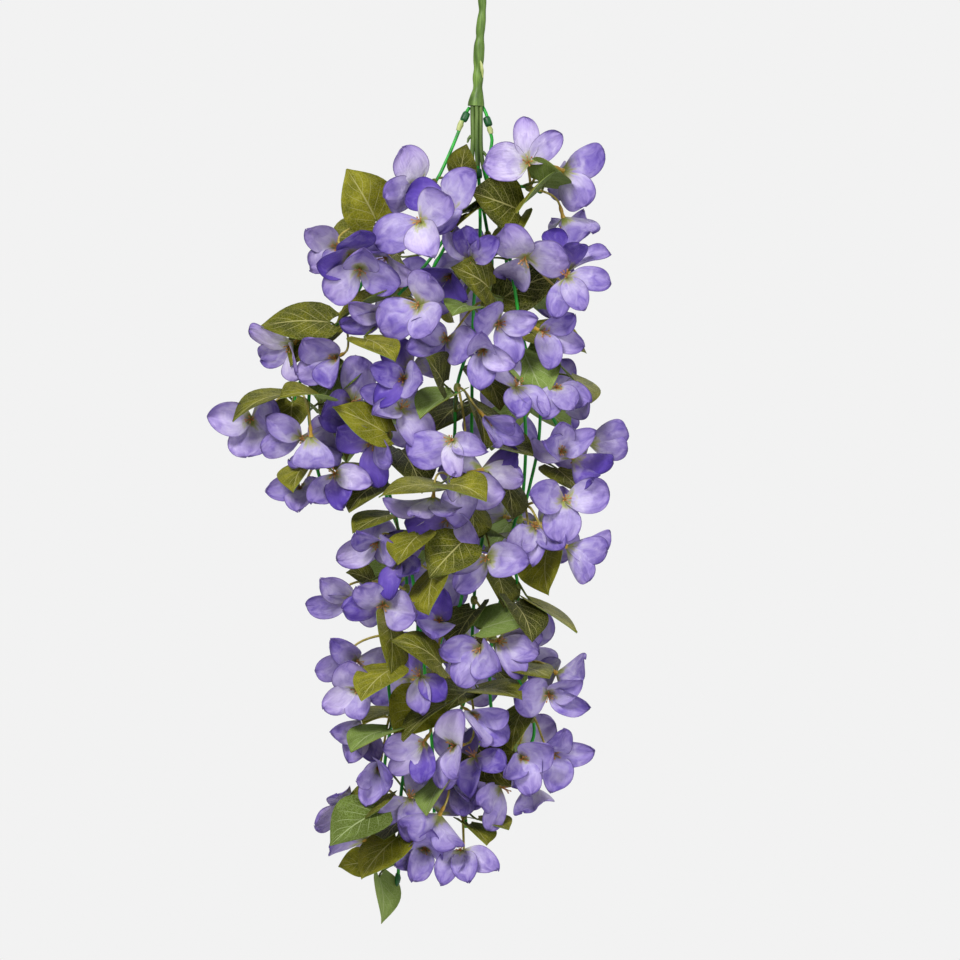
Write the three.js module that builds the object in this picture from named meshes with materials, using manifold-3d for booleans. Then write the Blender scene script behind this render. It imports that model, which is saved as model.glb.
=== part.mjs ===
// Hanging artificial bougainvillea spray: a pinched stem splits into eight wire-cored strands,
// which carry cloth leaves and bunches of blooms, each bloom with three cloth bracts.
// Millimetres, +Z up, origin at the middle of the stem's cut end. The front faces -Y.
import * as THREE from 'three';
import Module from 'manifold-3d';

const stemLead = 30; // stem above the level that drops are counted from
const stemFoot = 106; // drop of the stem's foot, where the strands leave it
const stemSides = 12;
const strandRadius = 1.5;
const strandSides = 5;
const strandStep = 20; // length of one straight piece of a strand
const clearance = 0.35; // left between solids that touch
const beadRadius = 3.8; // collar that a bunch grows from
const beadHalf = 3;
const boreRadius = 2.5; // at the corners of a collar's bore
const collarSides = 5;
const stalkRadius = 1.1; // flower stalk
const calyxRadius = 3.4;
const calyxLength = 13;
const petioleRadius = 1.2;
const petioleOffset = 6; // between a petiole and a collar
const petioleSunk = 0.7; // past the middle of its strand
const petioleNeck = 3; // straight end of a petiole
const petioleLead = 9; // least reach of a leaf's root ahead of its strand
const seatShifts = [0, 6, -6, 9, -9, 12, -12, 16, -16, 20, -20];
const bladeThick = 0.9;
const bractLength = 45;
const bractWidth = 41;
const bractFacing = 0.6; // how far the face of a bract turns from its bloom's axis to the viewer
const leafLongest = 58;
const leafWidthShare = 0.88;
const sleeveRadius = 3.9;
const sleeveHalf = 4.6;
const bractSpread = 1.2; // radians between a bloom's axis and its bracts
const backBloomCount = 2; // blooms on a bead behind
const backBloomReach = 40; // from a bead to the middle of such a bloom
const backLeafReach = 14; // from a bead to the root of a leaf behind
const bends = [0, 8, -8, 16, -16, 24, -24, 34, -34, 45, -45];
const twists = [0, 15, -15, 30, -30, 45, -45];
const turns = bends.flatMap((bend) => twists.map((twist) => [bend, twist])) // the least turned first
  .sort((a, b) => Math.hypot(a[0], a[1] * 0.8) - Math.hypot(b[0], b[1] * 0.8))
  .map((turn) => turn.map(THREE.MathUtils.degToRad));
const arches = [0, 45, -45, 90, -90, 135, 180].map(THREE.MathUtils.degToRad);
const viewer = new THREE.Vector3(0, -1, 0);
const up = new THREE.Vector3(0, 0, 1);

const stemGreen = material(0x5e8030, 0.55);
const strandGreen = material(0x2a8a2e, 0.5);
const sleeveGreen = material(0x1c5a28, 0.5);
const bractViolet = material(0x8f86cc, 0.8);

// Stem: across, drop and radius of each ring, with pinches like the nodes of a cane
const stemRings = [
  [0, -30, 4.1], [1.2, -18, 4.2], [2.3, 4, 4.2], [2.4, 10.5, 3.3], [1.8, 17, 4.3], [0.3, 31, 4.6],
  [0, 38, 3.8], [-0.6, 44, 5.3], [-1.5, 62, 5.3], [-1.7, 68.5, 4.2], [-1.9, 75, 5.4],
  [-2.1, 82, 5.2], [-2.2, 86.5, 4.3], [-2.5, 92, 5.6], [-3.4, 99, 7.4], [-4, stemFoot, 8.6],
];

// Strands: across, depth and drop of the points each passes through; depth grows away from the front
const strandRoutes = {
  left: [
    [[-10.6, 0.4, 107.6], [-14.5, -2, 114], [-19, -4, 126], [-34, -8, 162], [-46, -12, 184],
      [-74, -14, 206], [-99, -12, 226], [-113, -8, 262], [-119, -5, 286], [-138, -6, 315],
      [-151, -5, 345], [-168, -5, 380], [-171, -6, 412], [-163, -10, 466], [-160, -8, 478]],
    [[-157, -5, 357], [-172, -5, 370], [-184, -5, 392], [-185, -5, 403]],
  ],
  rear_left: [
    [[-7, 5.2, 106.5], [-9, 9, 160], [-28, 26, 230], [-60, 38, 290], [-92, 44, 360],
      [-110, 44, 420], [-96, 44, 490], [-72, 42, 560], [-60, 40, 630], [-54, 38, 690],
      [-48, 32, 750], [-46, 26, 802], [-46, 24, 814]],
  ],
  inner_left: [
    [[-7.6, -4, 106.5], [-8, -4.4, 160], [-16, -10, 200], [-40, -16, 246], [-68, -22, 282],
      [-84, -26, 300], [-89, -28, 328], [-82, -30, 354], [-92, -30, 395], [-90, -32, 436],
      [-93, -30, 480], [-84, -28, 515], [-80, -28, 542], [-73, -26, 588], [-84, -26, 636],
      [-91, -24, 680], [-88, -24, 716], [-94, -20, 755], [-97, -18, 788], [-98, -17, 802]],
  ],
  middle: [
    [[-3.4, -5.4, 106.5], [-2.8, -5.4, 160], [0, -8, 190], [8, -14, 236], [12, -20, 265],
      [4, -24, 304], [-10, -30, 345], [-23, -34, 388], [-25, -36, 430], [-27, -38, 481],
      [-19, -36, 518], [-32, -38, 545], [-46, -38, 562], [-59, -36, 590], [-62, -34, 630],
      [-63, -32, 664], [-54, -30, 697], [-69, -28, 740], [-76, -24, 772], [-80, -20, 810],
      [-80, -18, 842], [-82, -16, 882]],
    [[-80, -18, 848], [-86, -19, 861], [-99, -20, 866], [-107, -20, 867]],
  ],
  centre: [
    [[-3.6, -0.2, 106.5], [-1.6, 1.4, 165], [0, 6, 235], [-6, 6, 300], [-8, 2, 390], [-7, -4, 470],
      [3, -12, 530], [-3, -12, 566], [-6, -14, 600], [-8, -14, 640], [-10, -14, 683],
      [-28, -16, 735], [-30, -16, 775], [-15, -16, 815], [-14, -16, 827]],
    [[0, -12, 545], [-15, -16, 580], [-21, -18, 607], [-30, -20, 619], [-37, -22, 632],
      [-40, -22, 643]],
    [[-21, -18, 606], [-22, -18, 624], [-21, -17, 645]],
  ],
  inner_right: [
    [[0.6, -3.6, 106.5], [2.4, -3.6, 160], [12, -6, 187], [35, -12, 209], [35, -14, 230],
      [30, -14, 253], [36, -16, 298], [42, -16, 334], [50, -16, 364], [62, -16, 398],
      [80, -16, 432], [85, -16, 445]],
    [[61, -16, 396], [58, -14, 446], [51, -14, 480], [44, -14, 506], [36, -12.4, 518],
      [33, -12, 530], [33, -12, 558], [38, -12, 588], [36, -12, 630], [35, -14, 668],
      [46, -12, 696], [53, -12, 718],
      [53, -12, 738], [43, -14, 754], [28, -16, 768], [20, -16, 774]],
  ],
  right: [
    [[2.6, 0.9, 106.5], [6.6, -1.6, 115], [9, -3, 128], [12, -4, 140], [10.6, -5, 152],
      [14, -7, 176], [28, -9, 185], [50, -9, 188], [61, -9.5, 193]],
  ],
  rear_right: [
    [[0, 5, 106.5], [2, 8, 160], [18, 28, 220], [30, 42, 280], [38, 46, 350], [44, 46, 400],
      [46, 46, 450], [40, 44, 520], [26, 42, 580], [12, 38, 640], [10, 34, 690], [14, 28, 740],
      [14, 27, 752]],
  ],
};

// Beads: the strand that each sits on, then its across, depth and drop
const beads = {
  shoulder_left: ['left', -46, -12, 184],
  outer_left: ['left', -99, -12, 226],
  elbow_left: ['left', -138, -6, 315],
  tip_left: ['left', -184, -5, 392],
  foot_left: ['left', -163, -10, 466],
  high_inner: ['inner_left', -84, -26, 300],
  bend_inner: ['inner_left', -82, -30, 354],
  mid_inner: ['inner_left', -90, -32, 436],
  waist_inner: ['inner_left', -80, -28, 542],
  hip_inner: ['inner_left', -73, -26, 588],
  low_inner: ['inner_left', -84, -26, 636],
  shin_inner: ['inner_left', -88, -24, 716],
  foot_inner: ['inner_left', -97, -18, 788],
  high_middle: ['middle', 8, -14, 236],
  neck_middle: ['middle', 4, -24, 304],
  chest_middle: ['middle', -23, -34, 388],
  waist_middle: ['middle', -27, -38, 481],
  hip_middle: ['middle', -46, -38, 562],
  knee_middle: ['middle', -54, -30, 697],
  shin_middle: ['middle', -80, -18, 838],
  toe_middle: ['middle', -99, -20, 866],
  waist_centre: ['centre', 3, -12, 530],
  hip_centre: ['centre', -6, -14, 600],
  twig_centre: ['centre', -37, -22, 632],
  knee_centre: ['centre', -10, -14, 683],
  shin_centre: ['centre', -28, -16, 735],
  calf_centre: ['centre', -30, -16, 775],
  foot_centre: ['centre', -15, -16, 815],
  high_right: ['inner_right', 30, -14, 253],
  neck_right: ['inner_right', 42, -16, 334],
  chest_right: ['inner_right', 50, -16, 364],
  outer_right: ['inner_right', 80, -16, 432],
  waist_right: ['inner_right', 44, -14, 506],
  hip_right: ['inner_right', 38, -12, 588],
  knee_right: ['inner_right', 35, -14, 668],
  shin_right: ['inner_right', 53, -12, 718],
  foot_right: ['inner_right', 28, -16, 768],
  top_right: ['right', 50, -9, 188],
};
const rearBeads = {
  rear_a: ['rear_left', -60, 38, 290],
  rear_b: ['rear_left', -110, 44, 420],
  rear_c: ['rear_left', -72, 42, 560],
  rear_d: ['rear_left', -54, 38, 690],
  rear_f: ['rear_right', 30, 42, 280],
  rear_g: ['rear_right', 44, 46, 400],
  rear_h: ['rear_right', 40, 44, 520],
  rear_i: ['rear_right', 12, 38, 640],
  rear_j: ['rear_right', 14, 28, 740],
};

// Blooms: bead, then across, depth and drop of the middle, then where each bract tip lies from it,
// right and up as seen from the front; a third value of -1 sends that tip backwards
const blooms = [
  ['top_right', 48, -36, 165, [-3, 44], [-41, 0], [34, 27]],
  ['top_right', 83, -24, 172, [39, 20], [18, -38], [-13, -12, -1]],
  ['top_right', 83, -12, 218, [22, 0, -1], [30, -19], [-8, -7, -1]],
  ['high_right', 45, -51, 258, [42, -5], [-20, 20]],
  ['high_right', 88, -34, 272, [37, 22], [-20, 40], [12, 27]],
  ['high_right', 86, -58, 280, [-9, -39], [16, -34], [43, -2]],
  ['shoulder_left', -61, -34, 189, [-10, 35], [-34, -14], [18, -12, -1]],
  ['shoulder_left', -30, -49, 210, [-43, 13], [19, 33], [-12, -21]],
  ['shoulder_left', -58, -77, 225, [-44, -24], [6, -34], [22, 26]],
  ['outer_left', -92, -44, 257, [-36, 14], [20, -28], [-18, 5]],
  ['outer_left', -142, -16, 248, [-29, 20], [-28, -22], [-3, -28]],
  ['outer_left', -130, -61, 256, [-30, -12], [10, 28]],
  ['outer_left', -119, -65, 270, [-34, -27], [39, -17], [4, 20]],
  ['high_middle', -10, -49, 262, [-5, 34], [27, 18], [-24, 32]],
  ['high_middle', -28, -30, 275, [-34, 5]],
  ['high_inner', -60, -66, 307, [11, 30], [-38, -21], [14, -28]],
  ['high_inner', -94, -50, 316, [-42, -11], [-31, 6]],
  ['neck_middle', -33, -52, 340, [-36, -7], [-34, 14], [26, -14]],
  ['neck_middle', 18, -60, 324, [39, -1], [20, -36], [-18, 8]],
  ['neck_middle', 4, -76, 350, [-4, -40], [25, -16], [-2, 16]],
  ['neck_right', 60, -42, 332, [31, 16], [42, -14], [12, -38]],
  ['elbow_left', -186, -18, 344, [-45, 8], [0, -34], [-32, -12, -1]],
  ['elbow_left', -142, -38, 358, [-28, 12], [-38, -22], [-5, -34]],
  ['bend_inner', -68, -45, 369, [-30, 25]],
  ['bend_inner', -75, -68, 380, [-34, 8], [-27, -20], [20, -6]],
  ['tip_left', -128, -45, 402, [-34, -12]],
  ['tip_left', -228, -10, 419, [-43, 1], [-3, -39], [26, 3]],
  ['tip_left', -178, -30, 438, [-34, 20], [-40, -9]],
  ['tip_left', -167, -65, 437, [-24, -19, -1], [2, -35], [27, -15, -1]],
  ['foot_left', -179, -16, 488, [-30, -2], [-1, -23], [21, -5]],
  ['foot_left', -144, -41, 474, [9, -31], [-21, -30], [31, -4]],
  ['mid_inner', -105, -58, 442, [-35, 14], [0, -44], [20, -20]],
  ['mid_inner', -79, -65, 410, [-26, -10], [27, -34], [-36, 17]],
  ['chest_middle', -26, -87, 441, [-44, -17], [1, -35], [24, -9]],
  ['chest_middle', 5, -60, 418, [28, -7], [38, -21], [5, -27]],
  ['chest_right', 35, -68, 388, [0, -30], [33, -28]],
  ['chest_right', 76, -50, 388, [-11, -24], [18, -24], [29, -12]],
  ['outer_right', 80, -47, 452, [-2, 29], [-19, 9], [30, 16]],
  ['outer_right', 108, -23, 443, [36, 15], [39, -10]],
  ['outer_right', 92, -40, 458, [38, -4], [18, -24]],
  ['waist_middle', -46, -86, 497, [-48, -8], [-19, -17], [18, -20]],
  ['waist_middle', -30, -70, 517, [-38, -25], [28, -29], [-43, -6]],
  ['waist_middle', 2, -40, 470, [40, -6], [38, 14]],
  ['waist_middle', -17, -69, 488, [38, -2]],
  ['waist_right', 83, -62, 500, [-35, 5], [45, 3], [-1, -36]],
  ['waist_right', 86, -66, 546, [42, 16], [38, -4], [22, -32]],
  ['waist_right', 53, -56, 527, [-18, -22], [1, -30], [30, -22]],
  ['waist_inner', -101, -56, 541, [-38, -19], [-19, 8], [16, -14]],
  ['waist_inner', -80, -70, 562, [-8, -30], [19, -12]],
  ['hip_inner', -96, -76, 603, [-22, 18], [-33, -3], [35, -9]],
  ['hip_inner', -128, -50, 598, [-42, -7], [-26, 20]],
  ['waist_centre', 7, -82, 557, [-44, -6], [-30, -32], [38, -5]],
  ['hip_middle', -40, -58, 620, [0, 28], [-25, 20], [-10, -14]],
  ['hip_right', 17, -56, 640, [43, 7], [41, -14], [25, -30]],
  ['hip_centre', 1, -76, 645, [-40, 2], [-25, -36], [18, -22]],
  ['low_inner', -122, -62, 658, [-24, 22], [-40, -9]],
  ['low_inner', -120, -60, 687, [0, -29], [-32, -21], [-8, 25]],
  ['twig_centre', -59, -86, 674, [-1, -36], [27, -21]],
  ['shin_inner', -118, -44, 727, [-30, 0], [-14, -32], [16, -33]],
  ['shin_inner', -100, -59, 765, [-10, -33], [14, -7], [-23, -7]],
  ['knee_middle', -55, -72, 738, [-37, -10], [-31, -30], [0, -39]],
  ['knee_centre', -8, -58, 711, [6, -25], [35, 6], [36, -26]],
  ['knee_centre', -24, -74, 742, [4, -30], [2, 30], [-15, -40]],
  ['shin_centre', -5, -53, 755, [32, -8], [-8, -32]],
  ['knee_right', 68, -48, 691, [-30, -4], [37, -14], [30, 8]],
  ['knee_right', 76, -34, 672, [32, 12], [18, -14]],
  ['shin_right', 71, -50, 750, [39, 0], [-3, -38], [12, 16]],
  ['shin_right', 41, -62, 755, [9, -32], [26, 10], [-16, -17]],
  ['foot_inner', -130, -30, 808, [-32, -12], [-8, 18]],
  ['toe_middle', -115, -40, 838, [-33, -7], [9, 25]],
  ['foot_inner', -70, -50, 796, [-30, -21], [4, -34]],
  ['calf_centre', -40, -60, 811, [-32, -7], [15, -31]],
  ['shin_middle', -55, -36, 845, [-25, -17], [-13, -32], [7, 17]],
  ['foot_centre', -19, -50, 848, [9, -27], [32, -14], [-21, -27]],
  ['foot_right', 20, -44, 785, [-19, -17], [-11, -41]],
  ['foot_right', 48, -38, 783, [19, -19], [-8, -27]],
  ['calf_centre', -22, -28, 785, [7, -27]],
];

// Leaves: strand, across and drop of the base, across and drop of the tip, the width seen from
// the front, the depth of the base, and the length of a small leaf
const leaves = [
  ['left', -103, 222, -131, 173, 48, -30],
  ['left', -99, 229, -143, 236, 22, 8, 46],
  ['inner_right', 37, 210, -6, 198, 46, -30],
  ['inner_right', 40, 216, 28, 247, 24, -17],
  ['right', 74, 176, 44, 203, 10, -20],
  ['right', 60, 183, 80, 200, 20, -22],
  ['middle', -10, 214, -24, 236, 18, -31],
  ['left', -22, 196, -18, 166, 26, -14, 34],
  ['left', -139, 322, -205, 328, 34, -32],
  ['left', -145, 323, -180, 358, 30, -3],
  ['inner_left', -87, 298, -140, 318, 8, -43],
  ['inner_left', -115, 340, -84, 356, 20, -74],
  ['left', -135, 360, -155, 400, 42, -14],
  ['middle', 10, 290, -21, 272, 36, -36],
  ['middle', 23, 298, 76, 272, 42, 0],
  ['middle', -10, 308, -29, 313, 16, -65],
  ['inner_right', 38, 262, -2, 255, 8, 15],
  ['inner_right', 46, 332, 100, 347, 25, -17],
  ['inner_right', 43, 352, 60, 398, 47, -36],
  ['inner_right', 88, 376, 110, 402, 12, -30],
  ['left', -197, 395, -246, 416, 14, -33],
  ['left', -187, 399, -188, 430, 31, -17, 36],
  ['left', -156, 400, -192, 394, 8, -75],
  ['left', -164, 410, -130, 455, 16, -23],
  ['left', -172, 463, -188, 488, 20, -35],
  ['left', -152, 458, -132, 470, 18, 11],
  ['inner_left', -92, 434, -142, 408, 30, -74],
  ['middle', -26, 395, -58, 416, 20, -62],
  ['inner_left', -62, 388, -84, 408, 25, 30],
  ['middle', -36, 385, -56, 364, 28, -64],
  ['middle', 5, 446, 50, 455, 20, -33],
  ['middle', -8, 402, 6, 440, 22, -33],
  ['middle', -43, 486, -98, 492, 14, -99],
  ['middle', -31, 484, 7, 491, 18, -121],
  ['centre', 25, 478, 35, 515, 27, -24],
  ['inner_left', -86, 514, -122, 526, 14, -36],
  ['inner_left', -60, 534, -82, 558, 26, -86],
  ['middle', -46, 571, -50, 610, 30, -81],
  ['inner_left', -90, 620, -86, 665, 24, -78],
  ['middle', -35, 664, -76, 632, 20, -87],
  ['centre', 10, 536, 42, 541, 11, -28],
  ['centre', 2, 550, 27, 556, 10, -26],
  ['inner_right', 67, 547, 65, 590, 36, -26],
  ['centre', -4, 629, 52, 614, 26, -55],
  ['inner_right', 34, 602, 54, 636, 26, -52],
  ['inner_right', 50, 600, 95, 630, 8, -20],
  ['inner_left', -88, 666, -117, 692, 28, -95],
  ['middle', -50, 697, -85, 730, 46, -50],
  ['inner_left', -86, 708, -112, 718, 14, -34],
  ['middle', -33, 700, -75, 732, 14, -83],
  ['inner_left', -90, 727, -127, 752, 22, -72],
  ['centre', -10, 688, -28, 714, 30, -45],
  ['inner_right', 38, 664, 70, 672, 14, -43],
  ['centre', -2, 687, 42, 693, 14, -60],
  ['inner_right', 44, 706, 32, 744, 30, -26],
  ['centre', -2, 747, 26, 782, 30, -23],
  ['inner_left', -70, 774, -118, 809, 24, -64],
  ['inner_left', -102, 808, -146, 832, 26, -84],
  ['centre', -33, 772, -55, 805, 18, -51],
  ['middle', -82, 834, -120, 868, 30, -52],
  ['middle', -111, 861, -138, 862, 24, -28, 30],
  ['middle', -101, 869, -98, 914, 20, -24, 46],
  ['middle', -76, 816, -94, 832, 16, -26],
  ['centre', -13, 822, 4, 838, 16, -24],
  ['centre', -8, 817, 22, 824, 8, -13],
  ['inner_left', -62, 270, -92, 248, 26, 14],
  ['centre', 0, 372, 22, 406, 30, -14],
  ['centre', -14, 398, -42, 428, 30, 6],
  ['inner_left', -84, 442, -62, 478, 34, -22],
  ['inner_left', -96, 480, -124, 498, 24, -18],
  ['inner_right', 70, 462, 94, 486, 26, 3],
  ['centre', 28, 514, -2, 528, 20, -17, 34],
  ['middle', -17, 540, -52, 556, 18, -86],
  ['middle', -12, 498, -4, 530, 20, -44],
  ['inner_left', -108, 580, -130, 571, 12, -30, 28],
  ['centre', 14, 566, 24, 600, 26, -12],
  ['centre', -4, 608, -24, 642, 28, -26],
  ['centre', 12, 668, 34, 684, 14, -22, 30],
  ['inner_left', -90, 762, -72, 796, 24, 39],
  ['middle', 6, 202, -8, 238, 24, -12],
];

const sleeves = {
  left: ['left', -15.6, -2.4, 116.5],
  right: ['right', 8.2, -2.6, 121.5],
  middle: ['middle', -1.6, -6.2, 174],
  low: ['inner_right', 33, -12, 536],
};

const wasm = await Module();
wasm.setup();
const spray = new THREE.Group();
const nodes = new Map(); // name of a mesh and the solids fused into it
const placed = []; // solids already in place, each with its clearance copy
const paths = new Map(); // each strand's name and its routes as points 1 mm apart
let seed = 17;

function material(color, roughness) {
  return new THREE.MeshStandardMaterial({ color, roughness, metalness: 0 });
}

function random(low, high) {
  seed = (seed * 16807) % 2147483647;
  return low + (high - low) * (seed / 2147483647);
}

function at(across, depth, drop) {
  return new THREE.Vector3(across, depth, -stemLead - drop);
}

function solidFrom(points, triangles) {
  const vertProperties = new Float32Array(points.flatMap((p) => [p.x, p.y, p.z]));
  const triVerts = new Uint32Array(triangles.flat());
  return new wasm.Manifold(new wasm.Mesh({ numProp: 3, vertProperties, triVerts }));
}

// Closed skin over rings of equal count, each ring turning anticlockwise about the way forward
function ringSolid(rings) {
  const sides = rings[0].length;
  const last = (rings.length - 1) * sides;
  const triangles = [];
  for (let k = 0; k < rings.length - 1; k += 1) {
    for (let j = 0; j < sides; j += 1) {
      const a = k * sides + j;
      const b = k * sides + ((j + 1) % sides);
      triangles.push([a, b, b + sides], [a, b + sides, a + sides]);
    }
  }
  for (let j = 1; j < sides - 1; j += 1) {
    triangles.push([0, j + 1, j], [last, last + j, last + j + 1]);
  }
  return solidFrom(rings.flat(), triangles);
}

function ring(centre, first, second, radius, sides) {
  return Array.from({ length: sides }, (_, j) => {
    const turn = (2 * Math.PI * j) / sides;
    return centre.clone()
      .addScaledVector(first, radius * Math.cos(turn))
      .addScaledVector(second, radius * Math.sin(turn));
  });
}

// A direction as the turn from one way to another carries it
function carried(direction, from, to) {
  return direction.clone().applyQuaternion(new THREE.Quaternion().setFromUnitVectors(from, to));
}

// Tube through points, its section carried along without twist
function tube(points, radii, sides) {
  let way = points[1].clone().sub(points[0]).normalize();
  let first = perpendicular(new THREE.Vector3(0.3, 1, 0.2), way);
  const rings = points.map((point, k) => {
    const before = points[Math.max(k - 1, 0)];
    const forward = points[Math.min(k + 1, points.length - 1)].clone().sub(before).normalize();
    first = perpendicular(carried(first, way, forward), forward);
    way = forward;
    return ring(point, first, forward.clone().cross(first), radii[k], sides);
  });
  return ringSolid(rings);
}

// Outlines: share of the length, share of the half width and share of the length lifted off,
// anticlockwise seen from the face, from one corner of the root to the other
const bractRim = [
  [0, -0.1, 0], [0.5, -0.94, 0.06], [0.95, -0.52, 0.02], [0.95, 0.52, 0.02], [0.5, 0.94, 0.06],
  [0, 0.1, 0],
];
const leafRim = [
  [0, -0.05, 0], [0, -0.56, 0.02], [0.36, -1, 0.06], [0.74, -0.52, 0.01], [1, 0, -0.1],
  [0.74, 0.52, 0.01], [0.36, 1, 0.06], [0, 0.56, 0.02], [0, 0.05, 0],
];

function bladePoints(blade, spare, offset) {
  const side = blade.face.clone().cross(blade.along);
  const stretch = 1 + (2 * spare) / blade.length;
  return blade.rim.map(([u, v, lift]) => blade.root.clone()
    .addScaledVector(blade.along, (0.5 + (u - 0.5) * stretch) * blade.length)
    .addScaledVector(side, v * (blade.width / 2 + spare))
    .addScaledVector(blade.face, lift * blade.length + offset));
}

// Triangles of a blade's two like skins and of its edge, closed across the root if asked for;
// the skins are strips that run from the root to the tip, from one edge over to the other
function bladeTriangles(upper, lower, closed) {
  const triangles = [];
  let low = 0;
  let high = upper.length - 1;
  while (high - low > 1) {
    const third = (high - low) % 2 ? low + 1 : high - 1;
    triangles.push([upper[low], upper[third], upper[high]], [lower[low], lower[high], lower[third]]);
    if (third === low + 1) {
      low += 1;
    } else {
      high -= 1;
    }
  }
  for (let i = 0; i < upper.length - (closed ? 0 : 1); i += 1) {
    const j = (i + 1) % upper.length;
    triangles.push([lower[i], lower[j], upper[j]], [lower[i], upper[j], upper[i]]);
  }
  return triangles;
}

// Blade alone, which the crossings are looked for with
function bladeSolid(blade, spare) {
  const half = bladeThick / 2 + spare;
  const skins = [...bladePoints(blade, spare, half), ...bladePoints(blade, spare, -half)];
  const count = blade.rim.length;
  const upper = blade.rim.map((_, i) => i);
  return solidFrom(skins, bladeTriangles(upper, upper.map((i) => i + count), true));
}

// Rings of a stalk whose last one is given by its angles round the way it arrives
function stalkRings(points, radii, lastWay, lastFirst, angles) {
  let first = lastFirst.clone();
  let forward = lastWay.clone();
  const rings = [];
  for (let k = points.length - 1; k >= 0; k -= 1) {
    if (k < points.length - 1) {
      const way = points[k + 1].clone().sub(points[Math.max(k - 1, 0)]).normalize();
      first = perpendicular(carried(first, forward, way), way);
      forward = way;
    }
    const second = forward.clone().cross(first);
    rings.unshift(angles.map((angle) => points[k].clone()
      .addScaledVector(first, radii[k] * Math.cos(angle))
      .addScaledVector(second, radii[k] * Math.sin(angle))));
  }
  return rings;
}

function stalkTriangles(rings) {
  const sides = rings[0].length;
  const triangles = [];
  for (let j = 1; j < sides - 1; j += 1) {
    triangles.push([rings[0][0], rings[0][j + 1], rings[0][j]]);
  }
  for (let k = 0; k < rings.length - 1; k += 1) {
    for (let j = 0; j < sides; j += 1) {
      const i = (j + 1) % sides;
      triangles.push([rings[k][j], rings[k][i], rings[k + 1][i]]);
      triangles.push([rings[k][j], rings[k + 1][i], rings[k + 1][j]]);
    }
  }
  return triangles;
}

// Bloom in one skin: the stalk ends in three notches, and the bracts leave between them
function bloomSolid({ centre, axis, petals, arch, radii }) {
  const points = [];
  const add = (point) => points.push(point) - 1;
  const zero = perpendicular(petals[0].along, axis);
  const second = axis.clone().cross(zero);
  const turn = (way) => (Math.atan2(way.dot(second), way.dot(zero)) + 2 * Math.PI) % (2 * Math.PI);
  const order = [...petals].sort((a, b) => turn(a.along) - turn(b.along));
  const notchTurns = order.map((petal, k) => {
    const next = k < 2 ? turn(order[k + 1].along) : 2 * Math.PI;
    return (turn(petal.along) + next) / 2;
  });
  const rings = stalkRings(arch, radii, axis, zero, notchTurns);
  const last = rings.pop();
  const stalk = rings.map((ringPoints) => ringPoints.map(add));
  const lower = last.map(add);
  const upper = last.map((point) => add(point.clone().addScaledVector(axis, bladeThick)));
  const triangles = [...stalkTriangles([...stalk, lower]), [upper[0], upper[1], upper[2]]];
  order.forEach((petal, k) => {
    const before = (k + 2) % 3;
    const [top, foot] = [1, -1].map((sign) => bladePoints(petal, 0, (sign * bladeThick) / 2)
      .slice(1, -1).map(add));
    triangles.push(...bladeTriangles(
      [upper[before], ...top, upper[k]], [lower[before], ...foot, lower[k]], false,
    ));
  });
  return solidFrom(points, triangles);
}

// Leaf in one skin: the petiole ends in the edge of the blade's root
function leafSolid({ blade, arch, radii }) {
  const points = [];
  const add = (point) => points.push(point) - 1;
  const corners = [0.25, 0.75, 1.25, 1.75].map((share) => share * Math.PI);
  const rings = stalkRings(arch, radii, blade.along, blade.face, corners);
  rings.pop();
  const stalk = rings.map((ringPoints) => ringPoints.map(add));
  const [upper, lower] = [1, -1].map((sign) => bladePoints(blade, 0, (sign * bladeThick) / 2).map(add));
  const end = [upper[0], lower[0], lower.at(-1), upper.at(-1)];
  return solidFrom(points, [...stalkTriangles([...stalk, end]), ...bladeTriangles(upper, lower, false)]);
}

function bounds(solid) {
  const box = solid.boundingBox();
  return new THREE.Box3(new THREE.Vector3(...box.min), new THREE.Vector3(...box.max));
}

function keep(node, owner, grown) {
  placed.push({ node, owner, grown, box: bounds(grown) });
}

// Solids in place that a new one crosses, apart from those it may grow out of
function crossed(solid, mayTouch) {
  const box = bounds(solid);
  return placed.filter((other) => {
    if (mayTouch(other) || !other.box.intersectsBox(box)) {
      return false;
    }
    const shared = other.grown.intersect(solid);
    other.volume = shared.volume();
    shared.delete();
    return other.volume > 0;
  });
}

// The first form that crosses nothing, or else the one that crosses least
function clearest(forms, make, mayTouch) {
  let best = null;
  for (const form of forms) {
    const solid = make(form, 0);
    const others = crossed(solid, mayTouch);
    const volume = others.reduce((sum, other) => sum + other.volume, 0);
    if (!best || volume < best.volume) {
      best = { form, solid, others, volume };
    }
    if (others.length === 0) {
      break;
    }
  }
  return best;
}

// A blade bends and twists at its root until it is clear of the others
function settle(node, owner, blade) {
  const side = blade.face.clone().cross(blade.along);
  const forms = turns.map(([bend, twist]) => {
    const along = blade.along.clone().applyAxisAngle(side, bend);
    const face = blade.face.clone().applyAxisAngle(side, bend).applyAxisAngle(along, twist);
    return { ...blade, along, face };
  });
  const best = clearest(forms, bladeSolid, (other) => other.owner === owner);
  const foreign = best.others.filter((other) => other.node !== node);
  keep(node, owner, bladeSolid(best.form, clearance));
  return { ...best.form, cuts: foreign.map((other) => other.grown) };
}

// What is left of a solid with its foot once the places it can't bend clear of are cut out
function cutClear(solid, cuts, foot) {
  if (!cuts.length) {
    return solid;
  }
  const pieces = solid.subtract(wasm.Manifold.union(cuts)).decompose();
  return pieces.filter((piece) => bounds(piece).expandByScalar(0.5).containsPoint(foot))
    .sort((a, b) => b.volume() - a.volume())[0];
}

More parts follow.
